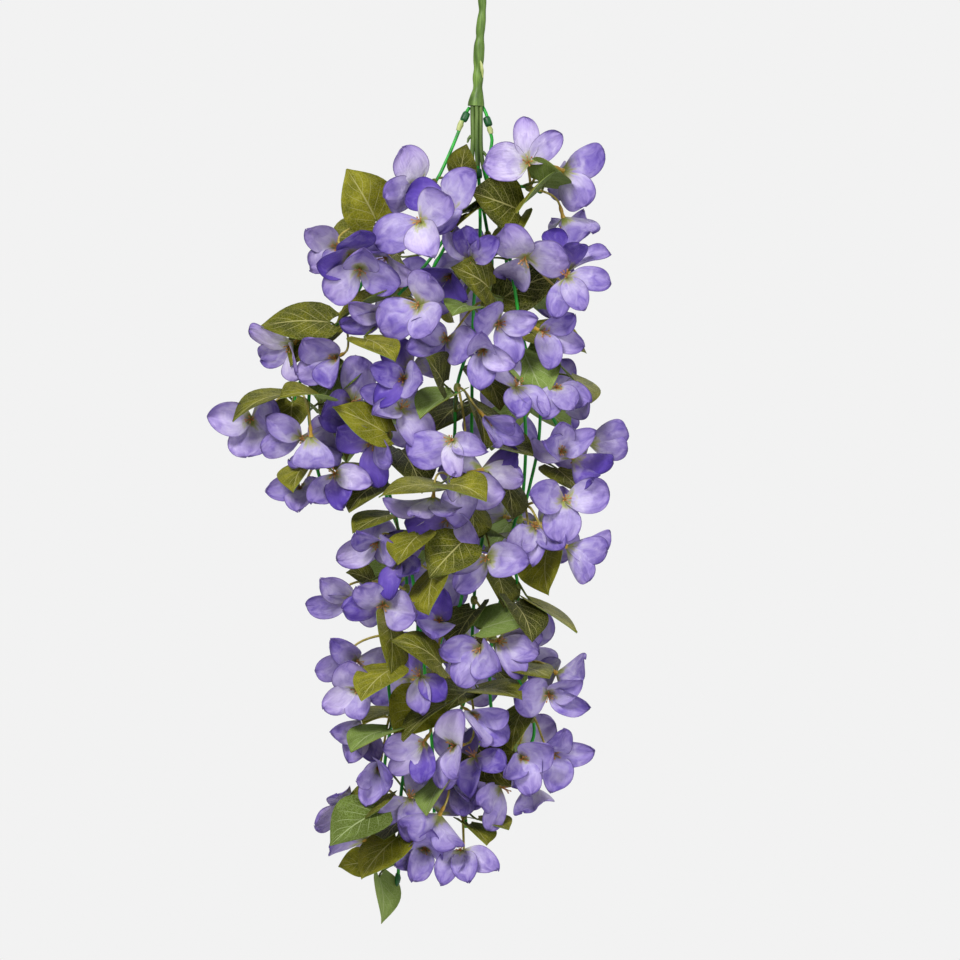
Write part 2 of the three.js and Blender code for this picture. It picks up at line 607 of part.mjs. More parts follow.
// Points of a stalk that leaves upward, arches over and arrives in the way given, from the first
// start and with the first turn of its arch that cross nothing
function addStalk(node, owner, starts, end, way, radii, tail) {
  const steps = radii.length - 1 - tail.length;
  const points = ({ start, angle }) => {
    const span = end.distanceTo(start);
    const chord = end.clone().sub(start).normalize();
    const leave = start.clone().addScaledVector(chord, span * 0.3).addScaledVector(up, span * 0.2);
    const arrive = end.clone().addScaledVector(way, -span * 0.35);
    const turned = (point, share) => point.clone().sub(start).applyAxisAngle(chord, angle * share)
      .add(start);
    const arch = new THREE.CubicBezierCurve3(start, turned(leave, 1), turned(arrive, 0.4), end);
    return [...arch.getPoints(steps), ...tail];
  };
  const make = (form, spare) => tube(points(form), radii.map((radius) => radius + spare), 3);
  const forms = starts.flatMap((start) => arches.map((angle) => ({ start, angle })));
  const best = clearest(forms, make, (other) => other.node === node);
  keep(node, owner, make(best.form, clearance));
  return points(best.form);
}

function perpendicular(vector, along) {
  return vector.clone().addScaledVector(along, -vector.dot(along)).normalize();
}

// Way of a bract from where its tip is seen
function bractWay([right, rise, back = 1]) {
  const seen = Math.hypot(right, rise);
  const length = Math.max(bractLength, seen);
  return new THREE.Vector3(right, -back * Math.sqrt(length * length - seen * seen), rise).normalize();
}

// The ways of a bloom's three bracts: those out of sight are set round its axis
function bloomWays(centre, bead, tips) {
  const ways = tips.map(bractWay);
  const outward = centre.clone().sub(bead).normalize();
  const guess = outward.clone().addScaledVector(viewer, 0.5).normalize();
  if (ways.length === 1) {
    ways.push(ways[0].clone().applyAxisAngle(guess, (2 * Math.PI) / 3));
    ways.push(ways[0].clone().applyAxisAngle(guess, (-2 * Math.PI) / 3));
  } else if (ways.length === 2) {
    ways.push(ways[0].clone().add(ways[1]).negate().addScaledVector(guess, 0.6).normalize());
  }
  const axis = ways[1].clone().sub(ways[0]).cross(ways[2].clone().sub(ways[0])).normalize();
  return { ways, axis: axis.dot(outward) < 0 ? axis.negate() : axis };
}

// The straight piece of a strand that runs nearest a point, and the nearest place on it
function nearest(strand, point) {
  let best = null;
  for (const path of paths.get(strand)) {
    for (let i = 0; i < path.length - 1; i += 1) {
      const piece = new THREE.Line3(path[i], path[i + 1]);
      const place = piece.closestPointToPoint(point, true, new THREE.Vector3());
      const distance = place.distanceTo(point);
      if (!best || distance < best.distance) {
        best = { place, distance, way: piece.delta(new THREE.Vector3()).normalize() };
      }
    }
  }
  return best;
}

// Collar that slides on its strand
function collar(node, owner, strand, spot, radius, half) {
  const { place: centre, way } = nearest(strand, spot);
  const side = perpendicular(new THREE.Vector3(0.3, 1, 0.2), way);
  const third = way.clone().cross(side);
  const ends = [-half, half].map((reach) => centre.clone().addScaledVector(way, reach));
  const walls = [ends[0], ends[1]].map((end) => ring(end, side, third, radius, collarSides));
  const bore = [ends[0], ends[1]].map((end) => ring(end, side, third, boreRadius, collarSides));
  const points = [...walls.flat(), ...bore.flat()];
  const triangles = [];
  for (let j = 0; j < collarSides; j += 1) {
    const k = (j + 1) % collarSides;
    const [foot, head, inFoot, inHead] = [0, 1, 2, 3].map((level) => level * collarSides);
    triangles.push([foot + j, foot + k, head + k], [foot + j, head + k, head + j]);
    triangles.push([inFoot + j, inHead + k, inFoot + k], [inFoot + j, inHead + j, inHead + k]);
    triangles.push([head + j, head + k, inHead + k], [head + j, inHead + k, inHead + j]);
    triangles.push([foot + j, inFoot + k, foot + k], [foot + j, inFoot + j, inFoot + k]);
  }
  const whole = [-1, 1].map((sign) => centre.clone().addScaledVector(way, sign * (half + clearance)));
  const grown = ringSolid(whole.map((end) => ring(end, side, third, radius + clearance, collarSides)));
  nodes.get(node).solids.push(solidFrom(points, triangles));
  keep(node, owner, grown);
}

function startNode(name, colour, origin) {
  nodes.set(name, { colour, origin, solids: [] });
}

// Stem
startNode('main_stem', stemGreen, new THREE.Vector3());
const stemSolid = ringSolid(stemRings.map(([across, drop, radius]) => ring(
  at(across, 0, drop), new THREE.Vector3(1, 0, 0), new THREE.Vector3(0, -1, 0), radius, stemSides,
)));
nodes.get('main_stem').solids.push(stemSolid);
keep('main_stem', 'main_stem', stemSolid);

// Strands
for (const [name, routes] of Object.entries(strandRoutes)) {
  const node = `strand_${name}`;
  startNode(node, strandGreen, at(...routes[0][0]));
  paths.set(name, []);
  for (const route of routes) {
    const curve = new THREE.CatmullRomCurve3(route.map((point) => at(...point)), false, 'centripetal');
    const points = curve.getSpacedPoints(Math.ceil(curve.getLength() / strandStep));
    paths.get(name).push(points);
    const make = (spare) => tube(points, points.map(() => strandRadius + spare), strandSides);
    nodes.get(node).solids.push(make(0));
    keep(node, node, make(clearance));
  }
}

// Sleeves and beads
for (const [name, [strand, ...place]] of Object.entries(sleeves)) {
  startNode(`sleeve_${name}`, sleeveGreen, at(...place));
  collar(`sleeve_${name}`, name, strand, at(...place), sleeveRadius, sleeveHalf);
}
const allBeads = { ...beads, ...rearBeads };
for (const [name, [strand, ...place]] of Object.entries(allBeads)) {
  startNode(`bunch_${name}`, bractViolet, at(...place));
  collar(`bunch_${name}`, name, strand, at(...place), beadRadius, beadHalf);
}

// Blooms: all stalks first, then all bracts
const flowering = blooms.map(([bead, across, depth, drop, ...tips], i) => {
  const centre = at(across, depth, drop);
  const [strand, ...place] = allBeads[bead];
  const seen = tips.map(([right, rise]) => Math.max(bractLength, Math.hypot(right, rise)));
  const lengths = [0, 1, 2].map((k) => seen[k] ?? bractLength);
  const ways = bloomWays(centre, at(...place), tips);
  return { bead, strand, owner: `bloom ${i}`, centre, lengths, ...ways };
});
for (const [name, [strand, ...place]] of Object.entries(rearBeads)) {
  for (let i = 0; i < backBloomCount; i += 1) {
    const turn = ((i + 0.5 + random(-0.25, 0.25)) / backBloomCount) * Math.PI;
    const rise = random(-0.5, 0.35);
    const axis = new THREE.Vector3(Math.cos(turn), Math.sin(turn), rise).normalize();
    const centre = at(...place).addScaledVector(axis, backBloomReach + random(-6, 8));
    const start = perpendicular(up, axis).applyAxisAngle(axis, random(0, 2));
    const ways = [0, 1, 2].map((k) => start.clone().applyAxisAngle(axis, (k * 2 * Math.PI) / 3)
      .multiplyScalar(Math.sin(bractSpread)).addScaledVector(axis, Math.cos(bractSpread)));
    const lengths = ways.map(() => bractLength);
    flowering.push({ bead: name, strand, owner: `${name} ${i}`, centre, lengths, ways, axis });
  }
}
for (const bloom of flowering) {
  const { bead, strand, owner, centre, axis } = bloom;
  const { place: middle, way } = nearest(strand, at(...allBeads[bead].slice(1)));
  const calyxStart = centre.clone().addScaledVector(axis, -calyxLength);
  const start = perpendicular(calyxStart.clone().sub(middle), way).multiplyScalar(beadRadius * 0.8)
    .add(middle);
  bloom.radii = [stalkRadius, stalkRadius, stalkRadius * 1.3, calyxRadius];
  bloom.arch = addStalk(`bunch_${bead}`, owner, [start], calyxStart, axis, bloom.radii, [centre]);
}

// Leaves: petioles first, then all blades
const growing = leaves.map(([strand, baseAcross, baseDrop, tipAcross, tipDrop, ...sizes], i) => {
  const [seenWidth, depth, small] = sizes;
  const root = at(baseAcross, depth, baseDrop);
  const tip = at(tipAcross, depth, tipDrop);
  const seen = Math.hypot(tip.x - root.x, tip.z - root.z);
  const length = Math.max(seen, small ?? Math.min(leafLongest, 30 + 0.6 * seen));
  const toward = -Math.sqrt(length * length - seen * seen);
  const along = new THREE.Vector3(tip.x - root.x, toward, tip.z - root.z).normalize();
  const width = length * leafWidthShare;
  const roll = Math.acos(Math.min(1, seenWidth / width));
  const faces = [roll, -roll].map((angle) => perpendicular(viewer, along).applyAxisAngle(along, angle));
  const face = faces[0].z >= faces[1].z ? faces[0] : faces[1];
  return { strand, owner: `leaf ${i}`, root, along, face, length, width };
});
for (const [name, [strand, ...place]] of Object.entries(rearBeads)) {
  for (const side of [-1, 1]) {
    const turn = Math.PI / 2 - side * random(0.5, 1.1);
    const along = new THREE.Vector3(Math.cos(turn), Math.sin(turn), random(-0.9, 0.2)).normalize();
    const root = at(...place).addScaledVector(along, backLeafReach);
    const face = perpendicular(up, along).applyAxisAngle(along, random(-0.5, 0.5));
    const length = random(46, leafLongest);
    const width = length * leafWidthShare;
    growing.push({ strand, owner: `leaf ${name} ${side}`, root, along, face, length, width });
  }
}
const fittings = Object.values({ ...allBeads, ...sleeves }).map((fitting) => at(...fitting.slice(1)));
for (const leaf of growing) {
  const { strand, owner, root, along } = leaf;
  const seat = nearest(strand, root);
  root.addScaledVector(along, Math.max(0, petioleLead - root.clone().sub(seat.place).dot(along)));
  const starts = seatShifts.map((shift) => seat.place.clone().addScaledVector(seat.way, shift))
    .map((spot) => nearest(strand, spot).place)
    .filter((spot) => fittings.every((fitting) => fitting.distanceTo(spot) > petioleOffset))
    .map((spot) => spot.addScaledVector(root.clone().sub(spot).normalize(), -petioleSunk));
  const neck = root.clone().addScaledVector(along, -petioleNeck);
  leaf.radii = [petioleRadius, petioleRadius, petioleRadius];
  leaf.arch = addStalk(`strand_${strand}`, owner, starts, neck, along, leaf.radii, [root]);
}

// Bracts that stand close together are narrower, so that they don't meet
function bractWidths(ways, axis) {
  return ways.map((way, k) => {
    const own = perpendicular(way, axis);
    const gaps = ways.filter((_, i) => i !== k).map((other) => own.angleTo(perpendicular(other, axis)));
    const slope = Math.tan(Math.min(Math.min(...gaps) / 2, 1.4));
    const room = 1.1 * bractLength * Math.sin(axis.angleTo(way)) * slope;
    return THREE.MathUtils.clamp(room, 8, bractWidth);
  });
}

for (const bloom of flowering) {
  const { bead, owner, centre, ways, axis, lengths } = bloom;
  const node = `bunch_${bead}`;
  const widths = bractWidths(ways, axis);
  bloom.petals = ways.map((way, k) => {
    const toViewer = Math.sign(axis.dot(viewer)) * bractFacing;
    const facing = axis.clone().addScaledVector(viewer, toViewer);
    const face = perpendicular(facing.angleTo(way) < 0.25 ? up : facing, way);
    const root = centre.clone();
    const form = { length: lengths[k], width: widths[k], rim: bractRim };
    return settle(node, owner, { root, along: way, face, ...form });
  });
  const cuts = bloom.petals.flatMap((petal) => petal.cuts);
  nodes.get(node).solids.push(cutClear(bloomSolid(bloom), cuts, bloom.arch[0]));
}
for (const leaf of growing) {
  const { strand, owner, root, along, face, length, width } = leaf;
  const node = `strand_${strand}`;
  leaf.blade = settle(node, owner, { root, along, face, length, width, rim: leafRim });
  nodes.get(node).solids.push(cutClear(leafSolid(leaf), leaf.blade.cuts, leaf.arch[0]));
}

function boxSolid(box) {
  const corners = [[box.max.x, box.max.y], [box.min.x, box.max.y], [box.min.x, box.min.y],
    [box.max.x, box.min.y]];
  const [foot, head] = [box.min.z, box.max.z].map((level) => corners
    .map(([x, y]) => new THREE.Vector3(x, y, level)));
  return ringSolid([foot, head]);
}

// Every node's solids are fused to one body, notched where it would still touch an earlier node;
// of what a notch cuts apart, the largest piece stays
const finished = [];
for (const [name, { colour, origin, solids }] of nodes) {
  let whole = wasm.Manifold.union(solids);
  for (const earlier of finished.filter((other) => other.box.intersectsBox(bounds(whole)))) {
    for (const touch of earlier.body.intersect(whole).decompose()) {
      whole = whole.subtract(boxSolid(bounds(touch).expandByScalar(clearance)));
    }
  }
  const [largest] = whole.decompose().sort((a, b) => b.volume() - a.volume());
  finished.push({ body: largest, box: bounds(largest) });
  const { vertProperties, triVerts } = largest.translate([-origin.x, -origin.y, -origin.z]).getMesh();
  const geometry = new THREE.BufferGeometry();
  geometry.setAttribute('position', new THREE.BufferAttribute(vertProperties, 3));
  geometry.setIndex(new THREE.BufferAttribute(triVerts, 1));
  geometry.computeVertexNormals();
  const mesh = new THREE.Mesh(geometry, colour);
  mesh.name = name;
  mesh.position.copy(origin);
  spray.add(mesh);
}

export default spray;
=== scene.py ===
import math
import random
import bmesh
import bpy
from mathutils import Matrix, Quaternion, Vector
from mathutils.kdtree import KDTree


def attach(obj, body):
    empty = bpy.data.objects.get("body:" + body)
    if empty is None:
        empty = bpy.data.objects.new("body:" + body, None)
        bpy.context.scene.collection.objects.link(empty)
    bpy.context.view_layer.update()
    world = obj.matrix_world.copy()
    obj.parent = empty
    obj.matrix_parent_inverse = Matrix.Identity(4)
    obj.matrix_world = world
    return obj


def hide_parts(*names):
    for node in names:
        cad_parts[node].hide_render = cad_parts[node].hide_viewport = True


# A hanging artificial bougainvillea: cloth bracts and leaves on wired plastic strands.
# Lengths are millimetres until a piece is finished; the model itself is in metres.

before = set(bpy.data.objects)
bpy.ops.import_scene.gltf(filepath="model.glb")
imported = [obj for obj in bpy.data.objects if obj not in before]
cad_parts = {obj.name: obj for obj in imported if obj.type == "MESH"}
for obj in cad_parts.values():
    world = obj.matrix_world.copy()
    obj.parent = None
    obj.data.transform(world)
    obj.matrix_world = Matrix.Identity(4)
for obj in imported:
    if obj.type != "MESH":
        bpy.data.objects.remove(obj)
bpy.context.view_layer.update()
scene = bpy.context.scene
millimetre = 0.001
up = Vector((0, 0, 1))
viewer = Vector((0, -1, 0))

# The places below are those of the solids
# Rings of the stem: across, drop and radius
stemRings = [
    (0, -30, 4.1), (1.2, -18, 4.2), (2.3, 4, 4.2), (2.4, 10.5, 3.3), (1.8, 17, 4.3), (0.3, 31, 4.6),
    (0, 38, 3.8), (-0.6, 44, 5.3), (-1.5, 62, 5.3), (-1.7, 68.5, 4.2), (-1.9, 75, 5.4), (-2.1, 82, 5.2),
    (-2.2, 86.5, 4.3), (-2.5, 92, 5.6), (-3.4, 99, 7.4), (-4, 106, 8.6),
]
# Routes of each strand and its twigs: across, depth and drop
strandRoutes = {
    "left": [[(-10.6, 0.4, 107.6), (-14.5, -2, 114), (-19, -4, 126), (-34, -8, 162), (-46, -12, 184),
         (-74, -14, 206), (-99, -12, 226), (-113, -8, 262), (-119, -5, 286), (-138, -6, 315),
         (-151, -5, 345), (-168, -5, 380), (-171, -6, 412), (-163, -10, 466), (-160, -8, 478)],
        [(-157, -5, 357), (-172, -5, 370), (-184, -5, 392), (-185, -5, 403)]],
    "rear_left": [[(-7, 5.2, 106.5), (-9, 9, 160), (-28, 26, 230), (-60, 38, 290), (-92, 44, 360),
         (-110, 44, 420), (-96, 44, 490), (-72, 42, 560), (-60, 40, 630), (-54, 38, 690), (-48, 32, 750),
         (-46, 26, 802), (-46, 24, 814)]],
    "inner_left": [[(-7.6, -4, 106.5), (-8, -4.4, 160), (-16, -10, 200), (-40, -16, 246), (-68, -22, 282),
         (-84, -26, 300), (-89, -28, 328), (-82, -30, 354), (-92, -30, 395), (-90, -32, 436),
         (-93, -30, 480), (-84, -28, 515), (-80, -28, 542), (-73, -26, 588), (-84, -26, 636),
         (-91, -24, 680), (-88, -24, 716), (-94, -20, 755), (-97, -18, 788), (-98, -17, 802)]],
    "middle": [[(-3.4, -5.4, 106.5), (-2.8, -5.4, 160), (0, -8, 190), (8, -14, 236), (12, -20, 265),
         (4, -24, 304), (-10, -30, 345), (-23, -34, 388), (-25, -36, 430), (-27, -38, 481),
         (-19, -36, 518), (-32, -38, 545), (-46, -38, 562), (-59, -36, 590), (-62, -34, 630),
         (-63, -32, 664), (-54, -30, 697), (-69, -28, 740), (-76, -24, 772), (-80, -20, 810),
         (-80, -18, 842), (-82, -16, 882)],
        [(-80, -18, 848), (-86, -19, 861), (-99, -20, 866), (-107, -20, 867)]],
    "centre": [[(-3.6, -0.2, 106.5), (-1.6, 1.4, 165), (0, 6, 235), (-6, 6, 300), (-8, 2, 390),
         (-7, -4, 470), (3, -12, 530), (-3, -12, 566), (-6, -14, 600), (-8, -14, 640), (-10, -14, 683),
         (-28, -16, 735), (-30, -16, 775), (-15, -16, 815), (-14, -16, 827)],
        [(0, -12, 545), (-15, -16, 580), (-21, -18, 607), (-30, -20, 619), (-37, -22, 632),
         (-40, -22, 643)],
        [(-21, -18, 606), (-22, -18, 624), (-21, -17, 645)]],
    "inner_right": [[(0.6, -3.6, 106.5), (2.4, -3.6, 160), (12, -6, 187), (35, -12, 209), (35, -14, 230),
         (30, -14, 253), (36, -16, 298), (42, -16, 334), (50, -16, 364), (62, -16, 398), (80, -16, 432),
         (85, -16, 445)],
        [(61, -16, 396), (58, -14, 446), (51, -14, 480), (44, -14, 506), (36, -12.4, 518), (33, -12, 530),
         (33, -12, 558), (38, -12, 588), (36, -12, 630), (35, -14, 668), (46, -12, 696), (53, -12, 718),
         (53, -12, 738), (43, -14, 754), (28, -16, 768), (20, -16, 774)]],
    "right": [[(2.6, 0.9, 106.5), (6.6, -1.6, 115), (9, -3, 128), (12, -4, 140), (10.6, -5, 152),
         (14, -7, 176), (28, -9, 185), (50, -9, 188), (61, -9.5, 193)]],
    "rear_right": [[(0, 5, 106.5), (2, 8, 160), (18, 28, 220), (30, 42, 280), (38, 46, 350),
         (44, 46, 400), (46, 46, 450), (40, 44, 520), (26, 42, 580), (12, 38, 640), (10, 34, 690),
         (14, 28, 740), (14, 27, 752)]],
}
# Joint sleeves: the strand, then across, depth and drop
sleeves = {
    "left": ("left", -15.6, -2.4, 116.5), "right": ("right", 8.2, -2.6, 121.5),
    "middle": ("middle", -1.6, -6.2, 174), "low": ("inner_right", 33, -12, 536),
}
# Bunches: the strand and place of the bead, then for each bloom its bracts' tones (p pale, m middling,
# d deep), its middle, and how far right and up from there each bract's tip is seen. A tip with -1 points
# away from the camera
bunches = {
    "shoulder_left": ("left", (-46, -12, 184), [
        ("pmm", -61, -34, 189, (-10, 35), (-34, -14), (18, -12, -1)),
        ("dmm", -30, -49, 210, (-43, 13), (19, 33), (-12, -21)),
        ("mpm", -58, -77, 225, (-44, -24), (6, -34), (22, 26))]),
    "outer_left": ("left", (-99, -12, 226), [("mpm", -92, -44, 257, (-36, 14), (20, -28), (-18, 5)),
        ("ppm", -142, -16, 248, (-29, 20), (-28, -22), (-3, -28)),
        ("ddm", -130, -61, 256, (-30, -12), (10, 28)),
        ("mmm", -119, -65, 270, (-34, -27), (39, -17), (4, 20))]),
    "elbow_left": ("left", (-138, -6, 315), [("ppm", -186, -18, 344, (-45, 8), (0, -34), (-32, -12, -1)),
        ("mmm", -142, -38, 358, (-28, 12), (-38, -22), (-5, -34))]),
    "tip_left": ("left", (-184, -5, 392), [("ddm", -128, -45, 402, (-34, -12)),
        ("ppm", -228, -10, 419, (-43, 1), (-3, -39), (26, 3)),
        ("mmm", -178, -30, 438, (-34, 20), (-40, -9)),
        ("mmm", -167, -65, 437, (-24, -19, -1), (2, -35), (27, -15, -1))]),
    "foot_left": ("left", (-163, -10, 466), [("mmm", -179, -16, 488, (-30, -2), (-1, -23), (21, -5)),
        ("dmp", -144, -41, 474, (9, -31), (-21, -30), (31, -4))]),
    "high_inner": ("inner_left", (-84, -26, 300), [
        ("mmm", -60, -66, 307, (11, 30), (-38, -21), (14, -28)),
        ("dmd", -94, -50, 316, (-42, -11), (-31, 6))]),
    "bend_inner": ("inner_left", (-82, -30, 354), [("ddm", -68, -45, 369, (-30, 25)),
        ("ddm", -75, -68, 380, (-34, 8), (-27, -20), (20, -6))]),
    "mid_inner": ("inner_left", (-90, -32, 436), [("ddm", -105, -58, 442, (-35, 14), (0, -44), (20, -20)),
        ("mmm", -79, -65, 410, (-26, -10), (27, -34), (-36, 17))]),
    "waist_inner": ("inner_left", (-80, -28, 542), [
        ("pmm", -101, -56, 541, (-38, -19), (-19, 8), (16, -14)),
        ("ddm", -80, -70, 562, (-8, -30), (19, -12))]),
    "hip_inner": ("inner_left", (-73, -26, 588), [("mdm", -96, -76, 603, (-22, 18), (-33, -3), (35, -9)),
        ("mmm", -128, -50, 598, (-42, -7), (-26, 20))]),
    "low_inner": ("inner_left", (-84, -26, 636), [("mmm", -122, -62, 658, (-24, 22), (-40, -9)),
        ("mpm", -120, -60, 687, (0, -29), (-32, -21), (-8, 25))]),
    "shin_inner": ("inner_left", (-88, -24, 716), [
        ("mmm", -118, -44, 727, (-30, 0), (-14, -32), (16, -33)),
        ("mmp", -100, -59, 765, (-10, -33), (14, -7), (-23, -7))]),
    "foot_inner": ("inner_left", (-97, -18, 788), [("pmm", -130, -30, 808, (-32, -12), (-8, 18)),
        ("mmm", -70, -50, 796, (-30, -21), (4, -34))]),
    "high_middle": ("middle", (8, -14, 236), [("ddm", -10, -49, 262, (-5, 34), (27, 18), (-24, 32)),
        ("dmd", -28, -30, 275, (-34, 5))]),
    "neck_middle": ("middle", (4, -24, 304), [("mmm", -33, -52, 340, (-36, -7), (-34, 14), (26, -14)),
        ("mmm", 18, -60, 324, (39, -1), (20, -36), (-18, 8)),
        ("mpm", 4, -76, 350, (-4, -40), (25, -16), (-2, 16))]),
    "chest_middle": ("middle", (-23, -34, 388), [("mpm", -26, -87, 441, (-44, -17), (1, -35), (24, -9)),
        ("mmm", 5, -60, 418, (28, -7), (38, -21), (5, -27))]),
    "waist_middle": ("middle", (-27, -38, 481), [("mpm", -46, -86, 497, (-48, -8), (-19, -17), (18, -20)),
        ("pmd", -30, -70, 517, (-38, -25), (28, -29), (-43, -6)),
        ("pdm", 2, -40, 470, (40, -6), (38, 14)), ("ppm", -17, -69, 488, (38, -2))]),
    "hip_middle": ("middle", (-46, -38, 562), [("ddm", -40, -58, 620, (0, 28), (-25, 20), (-10, -14))]),
    "knee_middle": ("middle", (-54, -30, 697), [
        ("mpd", -55, -72, 738, (-37, -10), (-31, -30), (0, -39))]),
    "shin_middle": ("middle", (-80, -18, 838), [("mmm", -55, -36, 845, (-25, -17), (-13, -32), (7, 17))]),
    "toe_middle": ("middle", (-99, -20, 866), [("mdm", -115, -40, 838, (-33, -7), (9, 25))]),
    "waist_centre": ("centre", (3, -12, 530), [("mmm", 7, -82, 557, (-44, -6), (-30, -32), (38, -5))]),
    "hip_centre": ("centre", (-6, -14, 600), [("mmm", 1, -76, 645, (-40, 2), (-25, -36), (18, -22))]),
    "twig_centre": ("centre", (-37, -22, 632), [("mdd", -59, -86, 674, (-1, -36), (27, -21))]),
    "knee_centre": ("centre", (-10, -14, 683), [("pmm", -8, -58, 711, (6, -25), (35, 6), (36, -26)),
        ("mpm", -24, -74, 742, (4, -30), (2, 30), (-15, -40))]),
    "shin_centre": ("centre", (-28, -16, 735), [("ddd", -5, -53, 755, (32, -8), (-8, -32))]),
    "calf_centre": ("centre", (-30, -16, 775), [("mmm", -40, -60, 811, (-32, -7), (15, -31)),
        ("mmm", -22, -28, 785, (7, -27))]),
    "foot_centre": ("centre", (-15, -16, 815), [("mmm", -19, -50, 848, (9, -27), (32, -14), (-21, -27))]),
    "high_right": ("inner_right", (30, -14, 253), [("mmm", 45, -51, 258, (42, -5), (-20, 20)),
        ("mdd", 88, -34, 272, (37, 22), (-20, 40), (12, 27)),
        ("mmm", 86, -58, 280, (-9, -39), (16, -34), (43, -2))]),
    "neck_right": ("inner_right", (42, -16, 334), [
        ("mmm", 60, -42, 332, (31, 16), (42, -14), (12, -38))]),
    "chest_right": ("inner_right", (50, -16, 364), [("mmm", 35, -68, 388, (0, -30), (33, -28)),
        ("mmm", 76, -50, 388, (-11, -24), (18, -24), (29, -12))]),
    "outer_right": ("inner_right", (80, -16, 432), [("mmm", 80, -47, 452, (-2, 29), (-19, 9), (30, 16)),
        ("mmm", 108, -23, 443, (36, 15), (39, -10)), ("ddm", 92, -40, 458, (38, -4), (18, -24))]),
    "waist_right": ("inner_right", (44, -14, 506), [("mmm", 83, -62, 500, (-35, 5), (45, 3), (-1, -36)),
        ("mmm", 86, -66, 546, (42, 16), (38, -4), (22, -32)),
        ("mmm", 53, -56, 527, (-18, -22), (1, -30), (30, -22))]),
    "hip_right": ("inner_right", (38, -12, 588), [("mmm", 17, -56, 640, (43, 7), (41, -14), (25, -30))]),
    "knee_right": ("inner_right", (35, -14, 668), [("mmm", 68, -48, 691, (-30, -4), (37, -14), (30, 8)),
        ("mmm", 76, -34, 672, (32, 12), (18, -14))]),
    "shin_right": ("inner_right", (53, -12, 718), [("mmm", 71, -50, 750, (39, 0), (-3, -38), (12, 16)),
        ("mmm", 41, -62, 755, (9, -32), (26, 10), (-16, -17))]),
    "foot_right": ("inner_right", (28, -16, 768), [("mmm", 20, -44, 785, (-19, -17), (-11, -41)),
        ("pmm", 48, -38, 783, (19, -19), (-8, -27))]),
    "top_right": ("right", (50, -9, 188), [("ppm", 48, -36, 165, (-3, 44), (-41, 0), (34, 27)),
        ("mmm", 83, -24, 172, (39, 20), (18, -38), (-13, -12, -1)),
        ("mmm", 83, -12, 218, (22, 0, -1), (30, -19), (-8, -7, -1))]),
}
rearBunches = {  # their blooms and leaves are drawn by chance
    "rear_a": ("rear_left", (-60, 38, 290)), "rear_b": ("rear_left", (-110, 44, 420)),
    "rear_c": ("rear_left", (-72, 42, 560)), "rear_d": ("rear_left", (-54, 38, 690)),
    "rear_f": ("rear_right", (30, 42, 280)), "rear_g": ("rear_right", (44, 46, 400)),
    "rear_h": ("rear_right", (40, 44, 520)), "rear_i": ("rear_right", (12, 38, 640)),
    "rear_j": ("rear_right", (14, 28, 740)),
}
